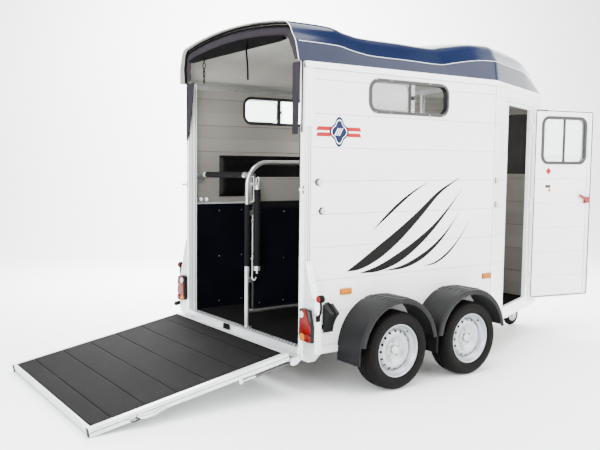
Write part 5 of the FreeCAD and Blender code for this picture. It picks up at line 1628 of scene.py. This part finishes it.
@dataclass
class Ramp:
    """The lowered ramp: aluminium frame, ribbed rubber strips, end caps and catch levers."""

    hinge: Vector = field(default_factory=lambda: at(-72, 0, 262))
    length: float = 1490.0
    half_width: float = 842.0
    thickness: float = 55.0
    rail: float = 30.0
    mat: float = 6.0
    start: float = 21.0
    face_gap: float = 6.0
    pitch: float = 233.0
    seam: float = 7.0
    strips: int = 7
    swing: float = math.radians(100.360569797)
    grip_pitch: float = 11.0

    def place(self) -> Matrix:
        """Carries a shape drawn on the shut ramp to the ground."""
        return (Matrix.Translation(self.hinge) @ Matrix.Rotation(-self.swing, 4, "Y")
                @ Matrix.Translation(-self.hinge))

    def strip(self, low: float, high: float, inner: float) -> Form:
        """One rubber strip with fine ribs along it.

        Args:
            low: where it starts.
            high: where it ends.
            inner: half its length.

        Returns:
            The strip.
        """
        top = -self.face_gap
        back = top - self.mat
        count = max(2, round((high - low - 16) / self.grip_pitch))
        step = (high - low - 16) / count
        outline = [at(back, 0, low), at(top - 1.5, 0, low), at(top - 0.4, 0, low + 3)]
        for i in range(count):
            z = low + 8 + i * step
            outline += [at(top - 0.8, 0, z), at(top, 0, z + step * 0.25), at(top, 0, z + step * 0.75)]
        outline += [at(top - 0.8, 0, high - 8), at(top - 0.4, 0, high - 3), at(top - 1.5, 0, high),
                    at(back, 0, high)]
        return Form().grid([[p + at(0, -inner, 0) for p in outline], [p + at(0, inner, 0) for p in outline]])

    def build(self) -> None:
        """Build the strips in place of their CAD node, and the ramp's fittings."""
        place = self.place()
        z0 = self.hinge.z + self.start
        z1 = z0 + self.length
        inner = self.half_width - self.rail
        dress_each({"ramp_frame": RAMP_METAL, "ramp_panel": RAMP_METAL, "strut_tubes": BLACK_ENAMEL,
                    "strut_rods": CHROMED})
        first = (self.length - (self.strips - 2) * self.pitch) / 2
        edges = [z0 + 24] + [z0 + first + self.pitch * i for i in range(self.strips - 1)] + [z1 - 24]
        rubber = Form()
        for low, high in zip(edges[:-1], edges[1:]):
            rubber.joined(self.strip(low + self.seam / 2, high - self.seam / 2, inner - 0.4))
        rubber.moved(place).piece("ribbed_ramp_strips", FLOOR_RUBBER, body="ramp", angle=50,
                                  replaces=["ramp_rubber"])
        caps = Form()
        back = -self.face_gap - self.thickness
        caps.box(at(back + 0.4, -self.half_width + 0.3, z1), at(-self.face_gap, -inner + 6, z1 + 5.6))
        caps.both_sides().moved(place).piece("ramp_end_caps", MOULDED_BLACK, body="ramp", bevel=1.5)
        seams = Form()
        for edge in edges[1:-1]:
            seams.box(at(-self.face_gap - self.mat - 0.2, -inner + 0.4, edge - self.seam / 2 - 0.5),
                      at(-self.face_gap - self.mat + 1.8, inner - 0.4, edge + self.seam / 2 + 0.5))
        seams.moved(place).piece("ramp_seam_strips", BELLOWS, body="ramp")
        trim = Form()
        trim.box(at(-self.face_gap - 0.5, -inner, z0 + 2), at(-self.face_gap + 1.6, inner, z0 + 22))
        trim.box(at(-self.face_gap - 0.5, -inner, z1 - 22), at(-self.face_gap + 1.6, inner, z1 - 2))
        for y in (-inner - 1.5, inner - 2.5):
            trim.box(at(-self.face_gap - 0.5, y, z0 + 4), at(-self.face_gap + 1.6, y + 4, z1 - 4))
        trim.moved(place).piece("ramp_edge_trims", RAMP_METAL, body="ramp", bevel=0.5)
        ridge = Form()
        for deep in (2.0, 20.0, 30.0, 48.0):
            ridge.box(at(-self.face_gap - deep - 5, -self.half_width - 1.6, z0 + 2),
                      at(-self.face_gap - deep, -self.half_width + 0.4, z1 - 2))
        ridge.both_sides().moved(place).piece("ramp_rail_ridges", RAMP_METAL, body="ramp", bevel=0.6)
        # A flat black strip along each rail where the profile's groove runs: painted shade, with no recess
        # cut in the rail.
        groove = Form().box(at(-self.face_gap - 29.4, -self.half_width - 0.5, z0 + 2),
                            at(-self.face_gap - 25.6, -self.half_width + 0.4, z1 - 2))
        groove.both_sides().moved(place).piece("ramp_rail_groove_painted_shade", BELLOWS, body="ramp")
        rivets = Form()
        for z in [z0 + 60 + i * 152 for i in range(10)]:
            rivets.revolve([(0, 5), (1.2, 4.6), (2.2, 2), (2.3, 0.5)], at(-34, -self.half_width, z), RIGHT, 0,
                           12)
        rivets.both_sides().moved(place).piece("ramp_rivets", ZINC, body="ramp")
        self.catches(place)

    def catches(self, place: Matrix) -> None:
        """A folding catch lever on each side rail, which takes the stud on the post.

        Args:
            place: carries the shut ramp to the ground.
        """
        form, y, z = Form(), -self.half_width, CATCH_Z
        form.box(at(-60, y - 4, z - 46), at(-24, y + 0.5, z + 46))
        form.revolve([(0, 11), (8, 11), (10, 8), (10, 1)], at(-42, y - 4, z - 14), RIGHT, 0, 20)
        form.sweep(curve_points([at(-42, y - 9, z - 14), at(-58, y - 14, z - 40), at(-64, y - 16, z - 100),
                                 at(-58, y - 16, z - 160), at(-48, y - 14, z - 206)], 6), 8.0, 0, 10, 0.5)
        form.sweep(curve_points([at(-44, y - 8, z + 4), at(-54, y - 16, z - 14), at(-56, y - 20, z + 26),
                                 at(-50, y - 20, z + 44)], 6), 4.5, 1, 10)
        form.both_sides().moved(place).piece("ramp_catch_levers", ZINC, BELLOWS, body="ramp", bevel=0.8)


@dataclass
class Chassis:
    """Beams, drawbar, coupling, gaiter and jockey wheel."""

    height: float = 430.0
    apex: float = 3900.0
    jockey: Vector = field(default_factory=lambda: at(3385, -60, 105))
    trail: float = 65.0

    def build(self) -> None:
        """Dress the CAD nodes and build the bellows and the jockey tyre."""
        steel = ("chassis_beams", "cross_members", "front_post", "jockey_fork", "coupling_head",
                 "overrun_housing")
        dress_each({node: GALVANISED for node in steel} | {"jockey_tube": ZINC, "jockey_hub": WHEEL_ENAMEL})
        folds = [(t * 100, 26.5 + 5.5 * math.cos(2 * math.pi * t * 6)) for t in (i / 48 for i in range(49))]
        gaiter = Form().revolve([(0, 22)] + folds + [(100, 22)], at(self.apex + 190, 0, self.height), AHEAD,
                                0, 32)
        gaiter.piece("overrun_bellows", BELLOWS, angle=70, replaces=["overrun_gaiter"])
        centre = self.jockey - at(self.trail, 0, 0)
        half = 26.0
        profile = [(-half, 60), (-half, 78), (-half + 4, 92), (-half + 12, 101), (-half + 20, 105),
                   (half - 20, 105), (half - 12, 101), (half - 4, 92), (half, 78), (half, 60)]
        tyre = Form().revolve(profile + [profile[0]], centre, LEFT, 0, 48, True)
        tyre.piece("jockey_solid_tyre", TYRE_RUBBER, body="jockey_wheel", angle=35, replaces=["jockey_tyre"])
        grip = Form().revolve([(0, 10), (4, 12), (30, 13), (60, 12), (70, 10), (72, 6), (72, 1)],
                              self.jockey + at(90, 0, 655), UP, 0, 20)
        grip.piece("jockey_crank_grip", MOULDED_BLACK)


@dataclass
class Stalls:
    """Partition, padded sides, bars in foam, lining screws and hooks."""

    inner: float = INNER_Y
    partition_x: float = 1950.0
    pad_low: tuple[float, float] = (320.0, 1352.0)
    pad_high: tuple[float, float] = (1500.0, 1728.0)
    pad_depth: float = 40.0
    screw: Pairs = ((0, 4.6), (1.4, 4.2), (2.4, 2), (2.6, 0.5))
    lean: float = math.radians(1.6)
    bars_x: float = 108.0
    left_bar: tuple[float, float] = (42.0, 1556.0)
    right_bar: tuple[float, float] = (-60.0, 1490.0)

    def leaned(self) -> Matrix:
        """Carries a shape drawn straight to the leaning partition."""
        centre = at(self.partition_x, 0, 0)
        return Matrix.Translation(centre) @ Matrix.Rotation(self.lean, 4, "Z") @ Matrix.Translation(-centre)

    def pad(self) -> Form:
        """A padded panel on the right wall: flat back, crowned face, pulled in along its sewn lines."""
        (x0, z0), (x1, z1) = self.pad_low, self.pad_high
        columns, lines = 60, 20
        front = []
        for j in range(lines + 1):
            v = j / lines
            row = []
            for i in range(columns + 1):
                u = i / columns
                edge = min(u * (x1 - x0), (1 - u) * (x1 - x0), v * (z1 - z0), (1 - v) * (z1 - z0))
                crown = self.pad_depth * (1 - math.exp(-edge / 16)) if edge > 0 else 0.0
                sewn = min(abs(v - 1 / 3), abs(v - 2 / 3)) * (z1 - z0)
                crown -= 7 * math.exp(-(sewn / 9) ** 2) if edge > 10 else 0
                wrinkle = 1.4 * math.sin(x0 + u * 61) * math.sin(v * 19 + u * 23) * min(1.0, edge / 60)
                proud = max(0.3, min(self.pad_depth - 0.5, crown * 0.95 + wrinkle))
                row.append(at(x0 + (x1 - x0) * u, -self.inner + proud, z0 + (z1 - z0) * v))
            front.append(row)
        form = Form().skin(front)
        back = [[at(p.x, -self.inner + 0.3, p.z) for p in row] for row in front]
        return form.skin(back)

    def build(self) -> None:
        """Build the inside of the two stalls."""
        for side in ("right", "left"):
            pad = self.pad()
            if side == "left":
                pad.moved(FLIP)
            names = ["side_pads"] if side == "right" else []
            piece = pad.piece("side_pad_" + side, PAD_VINYL, angle=70, replaces=names)
        dress_each({"kick_panels": FILM_BOARD, "partition_panel": FILM_BOARD, "breast_bars": FOAM})
        (near, level), (hung, top), x = self.left_bar, self.right_bar, self.bars_x
        dress("rear_bar_left", FOAM, choose=lambda p, n: 0 if 46 < p.y - near < 704 else 1, others=[ZINC])
        dress("rear_bar_right", FOAM, choose=lambda p, n: 0 if 46 < top - p.z < 689 else 1, others=[ZINC])
        caps = Form()
        for along in (52.0, 668.0):
            caps.tube(at(x, near + along, level), at(x, near + along + 34, level), 25.2, 0, 28)
        caps.moved(self.leaned()).piece("left_bar_collars", ZINC, body="rear_bar_left")
        caps = Form()
        for along, size in ((15.0, 30.0), (653.0, 36.0)):
            caps.tube(at(x, hung, top - along), at(x, hung, top - along - size), 26.0, 0, 28)
        hook = [at(x, hung + 16 * math.cos(a), top + 33 + 16 * math.sin(a)) for a in turns(181, 15)]
        caps.sweep([at(x, hung + 16, top - 38)] + hook + [at(x, hung - 16, top - 38)], 5.0, 0, 10)
        caps.moved(self.leaned()).piece("right_bar_collars", ZINC, body="rear_bar_right")
        self.partition()
        self.linings()

    def tubes(self) -> Form:
        """The bent tube with its foot, lower rail, front upright, eyes, and ears that carry the bars."""
        x0, x1, top, bend, r = 52.0, 1890.0, 1658.0, 184.0, 18.0
        path = [at(x0 + bend * (1 - math.cos(a)), 0, top - bend * (1 - math.sin(a))) for a in turns(91, 9)]
        form = Form().sweep([at(x0, 0, 346)] + path + [at(x1, 0, top)], r, 0, 24)
        form.box(at(12, -30, 341), at(82, 30, 348))
        form.tube(at(x0, 0, 470), at(x1, 0, 470), 15)
        form.tube(at(x1, 0, 440), at(x1, 0, top + 19), 20)
        form.box(at(66, -7, 1326), at(94, 7, 1576))
        for z in (700, 1240):
            form.box(at(66, -7, z), at(112, 7, z + 40))
        for z in (520, 1560):
            form.revolve([(0, 10.5), (0, 17), (30, 17), (30, 10.5), (0, 10.5)], at(1950, 0, z + 14), UP)
            form.box(at(x1, -8, z + 14), at(1936, 8, z + 44))
        for low, high, (y, z) in ((0, 54, self.left_bar), (-72, 0, self.right_bar)):
            for x in (89, 122):
                form.box(at(x, low, z - 12), at(x + 5, high, z + 12))
            form.box(at(89, -3, z - 12), at(127, 3, z + 12))
            form.tube(at(86, y, z), at(130, y, z), 7)
        return form

    def partition(self) -> None:
        """The tubes, upper plate, foam sleeve, edge channel, drop rod and screws of the partition."""
        place = self.leaned()
        self.tubes().moved(place).piece("partition_tubes", ZINC, body="partition", angle=40,
                                        replaces=["partition_frame"])
        plate = Form().box(at(128, -4, 1300), at(1866, 4, 1542))
        plate.moved(place).piece("partition_upper_plate", PLANK_BARE, body="partition", bevel=1.5)
        sleeve = Form().revolve([(0, 18.4), (2, 20.4), (494, 20.4), (496, 18.4)], at(52, 0, 832), UP, 0, 28)
        sleeve.moved(place).piece("partition_sleeve", FOAM, body="partition")
        channel = Form()
        for low, high in ((481.0, 497.0), (1290.0, 1348.0)):
            channel.box(at(110, -12, low), at(1850, 12, high))
        channel.box(at(106, -12, 481), at(122, 12, 1304))
        channel.moved(place).piece("panel_edge_channel", MOULDED_BLACK, body="partition", bevel=1.5)
        rod = Form()
        rod.sweep(curve_points([at(92, -16, 1240), at(92, -18, 1000), at(90, -20, 800), at(86, -24, 740),
                                at(96, -44, 722), at(112, -40, 744)], 5), 5.5, 0, 12)
        loop = [at(66, -12, 1549), at(90, -24, 1546), at(94, -26, 1530), at(94, -26, 1366), at(90, -24, 1350),
                at(66, -12, 1344)]
        rod.sweep(curve_points(loop, 4), 4.5, 0, 10)
        rod.box(at(84, -22, 1186), at(100, -9, 1206))
        rod.box(at(84, -22, 886), at(100, -9, 906))
        rod.moved(place).piece("partition_drop_rod", ZINC, body="partition", angle=50)
        screws = Form()
        for x in [170 + i * 238 for i in range(8)]:
            for z in (530.0, 880.0, 1262.0):
                for way in (-1, 1):
                    screws.revolve(self.screw, at(x, way * 9, z), at(0, way, 0), 0, 12)
        screws.moved(place).piece("partition_screws", ZINC, body="partition")

    def linings(self) -> None:
        """Lining screws, tie hooks, the left bar's bracket with its chain, and the lining's edge rail."""
        screws = Form()
        for z in (392.0, 806.0, 1226.0):
            for x in [78 + i * 240 for i in range(8)]:
                screws.revolve([(0, 4.4), (1.4, 4), (2.6, 2), (2.8, 0.5)], at(x, -self.inner + 8, z), LEFT, 0,
                               12)
        screws.both_sides().piece("lining_screws", ZINC)
        hooks = Form()
        for x in (70.0, 128.0, 186.0):
            hooks.box(at(x - 13, -self.inner - 0.2, 1316), at(x + 13, -self.inner + 4, 1346))
            bow = [at(x, -self.inner + 3, 1340), at(x, -self.inner + 20, 1336), at(x, -self.inner + 24, 1326),
                   at(x, -self.inner + 12, 1320), at(x, -self.inner + 3, 1321)]
            hooks.sweep(curve_points(bow, 4), 5.0, 0, 10)
        hooks.both_sides().piece("tie_hooks", TRIM_WHITE, bevel=1.5)
        clevis = Form()
        clevis.box(at(36, self.inner - 5, 1508), at(66, self.inner + 0.2, 1562))
        clevis.box(at(42, self.inner - 40, 1528), at(60, self.inner - 4, 1534))
        clevis.box(at(42, self.inner - 40, 1548), at(60, self.inner - 4, 1554))
        clevis.tube(at(51, self.inner - 30, 1518), at(51, self.inner - 30, 1568), 5, 0, 14)
        for i in range(7):
            spot = at(51 + 9 * math.sin(i * 0.8), self.inner - 30 - 2 * i, 1512 - 11 * i)
            ring = [spot + at(5 * math.cos(a), 5 * math.cos(a) * (i % 2), 8 * math.sin(a))
                    for a in turns(360, 30)]
            clevis.sweep(ring, 1.8, 0, 6, 1.0, True)
        clevis.piece("bar_bracket", ANODISED, bevel=1.0)
        edge = Form().box(at(68, -self.inner, 1288), at(1918, -self.inner + 13, 1301))
        edge.both_sides().piece("lining_edge_rails", ANODISED, bevel=1.0)


@dataclass
class Tarpaulin:
    """The rear curtain: a bound band under the roof, the rolled curtain, side gussets and straps."""

    half: float = 690.0
    hub_y: float = 640.0
    hub_z: float = 2400.0
    gap: float = 6.0
    lean: float = 0.16
    roll_foot: float = 2504.0
    outer: float = 849.0
    edge: tuple[tuple[float, float], ...] = ((2350, 707), (2230, 722), (2098, 744), (1980, 774), (1900, 801),
                                             (1852, 836))

    def contour(self, inward: float, back: float) -> list[Vector]:
        """A line under the roof's inner skin, from the foot on the right to the foot on the left.

        Args:
            inward: how far it is from the skin.
            back: how far it is behind the band's front.

        Returns:
            Its points.
        """
        roof = Roof()
        made = []
        for p in roof.section(roof.stations[0], roof.sheet + 0.6, RAIL_TOP + 1):
            hub = at(p.x, max(-self.hub_y, min(self.hub_y, p.y)), self.hub_z)
            q = p + (hub - p).normalized() * inward
            made.append(at(-self.gap - self.lean * (q.z - RAIL_TOP) - back, q.y, q.z))
        return made

    def band(self) -> Form:
        """The cloth of the band, bulged a little to the rear and closed all round."""
        face = [(40.0, 10.0), (54.0, 17.0), (72.0, 20.0), (90.0, 18.0), (104.0, 11.0)]
        ring = face + [(inward, back - 3.0) for inward, back in reversed(face)]
        return Form().grid([list(row) for row in zip(*[self.contour(inward, back) for inward, back in ring])])

    def roll(self) -> Form:
        """The curtain rolled up: level below, filled up to the band above, a little uneven."""
        rows = []
        top = self.contour(98.0, 16.0)
        crown = [p for p in top if abs(p.y) < self.half + 60]
        for i in range(81):
            y = -self.half + 2 * self.half * i / 80
            after = next(k for k in range(1, len(crown)) if crown[k].y >= y or k == len(crown) - 1)
            a, b = crown[after - 1], crown[after]
            z = a.z + (b.z - a.z) * min(1.0, max(0.0, (y - a.y) / (b.y - a.y)))
            end = min(1.0, 0.55 + 0.15 * min(i, 80 - i))
            middle, high = (z + self.roll_foot) / 2, (z - self.roll_foot) / 2 * end
            pinch = math.exp(-((y + 235) / 16) ** 2) + math.exp(-((y - 428) / 16) ** 2)
            ring = []
            for k in range(24):
                a = 2 * math.pi * k / 24
                wave = 1 + 0.04 * math.sin(3 * a + i * 0.5) + (0.1 if 0 < k < 7 else 0.0)
                ring.append(at(-57 + 23 * wave * (1 - 0.2 * pinch) * math.cos(a), y,
                               middle + high * math.sin(a)))
            rows.append(ring)
        return Form().grid(rows)

    def gusset(self, gathered: bool) -> Form:
        """A gusset on the right side, hanging from the band in soft folds.

        Args:
            gathered: whether it is bunched up and cut off level, and doesn't run to a point.

        Returns:
            Its form.
        """
        rows = []
        for j in range(31):
            t = j / 30
            z = 2350 - t * 498
            after = next(k for k in range(1, len(self.edge)) if self.edge[k][0] <= z + 0.01)
            (z1, y1), (z2, y2) = self.edge[after - 1], self.edge[after]
            inner = 732 + 12 * t if gathered else y1 + (y2 - y1) * (z1 - z) / (z1 - z2)
            outer = self.outer - 37 - 18 * t if gathered else self.outer
            row = []
            for i in range(17):
                u = i / 16
                fold = 8 * math.sin(u * 5 * math.pi + t * 0.8) * (1.0 if gathered else 0.3 + 0.7 * (1 - t))
                row.append(at(-15 + fold, -outer + (outer - inner) * u, z))
            rows.append(row)
        back = [[p + at(2.5, 0, 0) for p in row] for row in rows]
        form = Form().skin(rows).skin(back)
        form.skin([rows[0], back[0]]).skin([rows[-1], back[-1]])
        form.skin([[r[0] for r in rows], [r[0] for r in back]])
        form.skin([[r[-1] for r in rows], [r[-1] for r in back]])
        return form

    def build(self) -> None:
        """Build the rolled curtain in place of its CAD node."""
        band = self.band().piece("curtain_band", TARPAULIN, angle=60, replaces=["tarpaulin"])
        # The roll is black as painted shade, not in the curtain's grey-violet cloth.
        roll = self.roll().piece("curtain_roll_painted_shade", BINDING_AND_SHADE, angle=60)
        for side in ("right", "left"):
            gusset = self.gusset(side == "right")
            if side == "left":
                gusset.moved(FLIP)
            piece = gusset.piece("curtain_gusset_" + side, TARPAULIN, angle=60)
        cords = Form()
        for inward, radius in ((14.0, 7.5), (32.0, 8.5)):
            cords.sweep(self.contour(inward, 12.0), radius, 0, 10)
        for y in (-self.outer + 6, self.outer - 6):
            cords.sweep([at(-12, y, z) for z in (2352, 2200, 2050, 1900, 1862)], 5.0, 0, 8)
        cords.piece("curtain_bindings", BINDING_AND_SHADE, angle=60)
        straps = Form()
        hang = curve_points([at(-74, -236, 2560), at(-82, -236, 2500), at(-70, -235, 2380),
                             at(-66, -235, 2275)], 6)
        straps.sweep(hang, 11, 0, 8, 0.6)
        for turn in (0.0, math.pi):
            loop = [at(-72 + 5 * math.sin(z / 18 + turn), 428 + 11 * math.cos(z / 26 + turn), z)
                    for z in range(2310, 2561, 10)]
            straps.sweep(loop, 6, 0, 8, 0.7)
        straps.piece("curtain_straps", BINDING_AND_SHADE, angle=60)


@dataclass
class Studio:
    """Seamless pale floor and backdrop, soft lights and the camera of the photograph."""

    camera_at: Vector = field(default_factory=lambda: at(-3057.3, -4894.6, 1611.6))
    yaw: float = math.radians(32.238)
    pitch: float = math.radians(-4.333)
    roll: float = math.radians(0.3085)
    focal_px: float = 726.345
    centre_px: tuple[float, float] = (241.23, 223.31)
    frame_px: tuple[float, float] = (600.0, 450.0)
    sensor: float = 36.0
    cove: float = 2600.0
    wall_foot: float = 6200.0
    wall_top: float = 9000.0
    floor_reach: float = 16000.0
    half_span: float = 22000.0

    def camera(self) -> None:
        """Place the camera where the photograph was taken from."""
        ahead = at(math.sin(self.yaw) * math.cos(self.pitch), math.cos(self.yaw) * math.cos(self.pitch),
                   math.sin(self.pitch))
        right = at(math.cos(self.yaw), -math.sin(self.yaw), 0)
        up = right.cross(ahead)
        side = right * math.cos(self.roll) + up * math.sin(self.roll)
        over = up * math.cos(self.roll) - right * math.sin(self.roll)
        data = bpy.data.cameras.new("photograph")
        data.sensor_width = self.sensor
        data.lens = self.focal_px * self.sensor / self.frame_px[0]
        data.shift_x = (self.frame_px[0] / 2 - self.centre_px[0]) / self.frame_px[0]
        data.shift_y = (self.centre_px[1] - self.frame_px[1] / 2) / self.frame_px[0]
        data.clip_end = 200.0
        made = bpy.data.objects.new("photograph", data)
        turn = Matrix((side, over, -ahead)).transposed().to_4x4()
        made.matrix_world = Matrix.Translation(to_frame(self.camera_at)) @ turn
        bpy.context.scene.collection.objects.link(made)
        bpy.context.scene.camera = made

    def stage(self) -> None:
        """A floor that curves up into the backdrop, and the soft lights."""
        bend = [(self.wall_foot + self.cove * math.sin(a), self.cove * (1 - math.cos(a)))
                for a in turns(91, 6)]
        profile = [(-self.floor_reach, 0.0), *bend, (self.wall_foot + self.cove, self.wall_top)]
        turn = Matrix.Rotation(-self.yaw, 3, "Z")
        form = Form().skin([[turn @ at(x, y, 0) + at(1400, 0, z - 0.5)
                             for x in (-self.half_span, self.half_span)] for y, z in profile])
        mesh = bpy.data.meshes.new("seamless_paper")
        mesh.from_pydata([to_frame(p) for p in form.points], [], form.faces)
        mesh.materials.append(STUDIO_PAPER.material())
        mesh.shade_smooth()
        floor = bpy.data.objects.new("seamless_paper", mesh)
        bpy.context.scene.collection.objects.link(floor)

    def light(self, name: str, place: Vector, aim: Vector, size: tuple[float, float], power: float,
              colour: str) -> None:
        """One soft light.

        Args:
            name: its name.
            place: where it stands.
            aim: what it points at.
            size: its width and height in metres.
            power: its power in watts.
            colour: its colour.
        """
        data = bpy.data.lights.new(name, "AREA")
        data.shape = "RECTANGLE"
        data.size, data.size_y = size
        data.energy = power
        data.color = linear(colour)[:3]
        made = bpy.data.objects.new(name, data)
        made.location = to_frame(place)
        made.rotation_euler = (aim - place).to_track_quat("-Z", "Y").to_euler()
        bpy.context.scene.collection.objects.link(made)

    def build(self) -> None:
        """Build the whole studio."""
        self.camera()
        self.stage()
        for name, place, aim, size, power, colour in (
                ("ceiling", (600, -800, 7600), (900, 0, 0), (8.0, 6.0), 1700, "#ffffff"),
                ("left", (-5200, -2600, 3600), (600, 0, 1100), (6.0, 5.0), 1050, "#fbfdff"),
                ("right", (4200, -5600, 3400), (1500, 0, 1200), (7.0, 6.0), 900, "#fffdfa"),
                ("front", (8200, 300, 4600), (2600, 0, 1900), (7.0, 6.0), 380, "#fbfdff"),
                ("backdrop", (2500, 3600, 5600), (5600, 8200, 1500), (6.0, 2.0), 2200, "#ffffff"),
                ("back", (2600, 4800, 4200), (1400, 0, 1500), (5.0, 3.0), 1000, "#ffffff")):
            self.light(name + "_softbox", at(*place), at(*aim), size, power, colour)
        world = bpy.data.worlds.new("studio_air")
        bpy.context.scene.world = world
        world.use_nodes = True
        sky = world.node_tree.nodes["Background"]
        sky.inputs["Color"].default_value = linear("#f4f7f8")
        sky.inputs["Strength"].default_value = 0.6


def main() -> None:
    """Build every sub-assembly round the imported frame."""
    logging.basicConfig(level=logging.INFO, format="%(name)s: %(message)s")
    shell = BodyShell()
    shell.build()
    Roof().build()
    SideGraphic().build()
    Windows().build()
    TackDoor().build(shell)
    Wheels().build()
    Mudguards().build()
    RearFrame().build()
    Lamps().build()
    Ramp().build()
    Chassis().build()
    Stalls().build()
    Tarpaulin().build()
    Studio().build()
    LOG.info("all pieces are built")


if __name__ == "__main__":
    main()
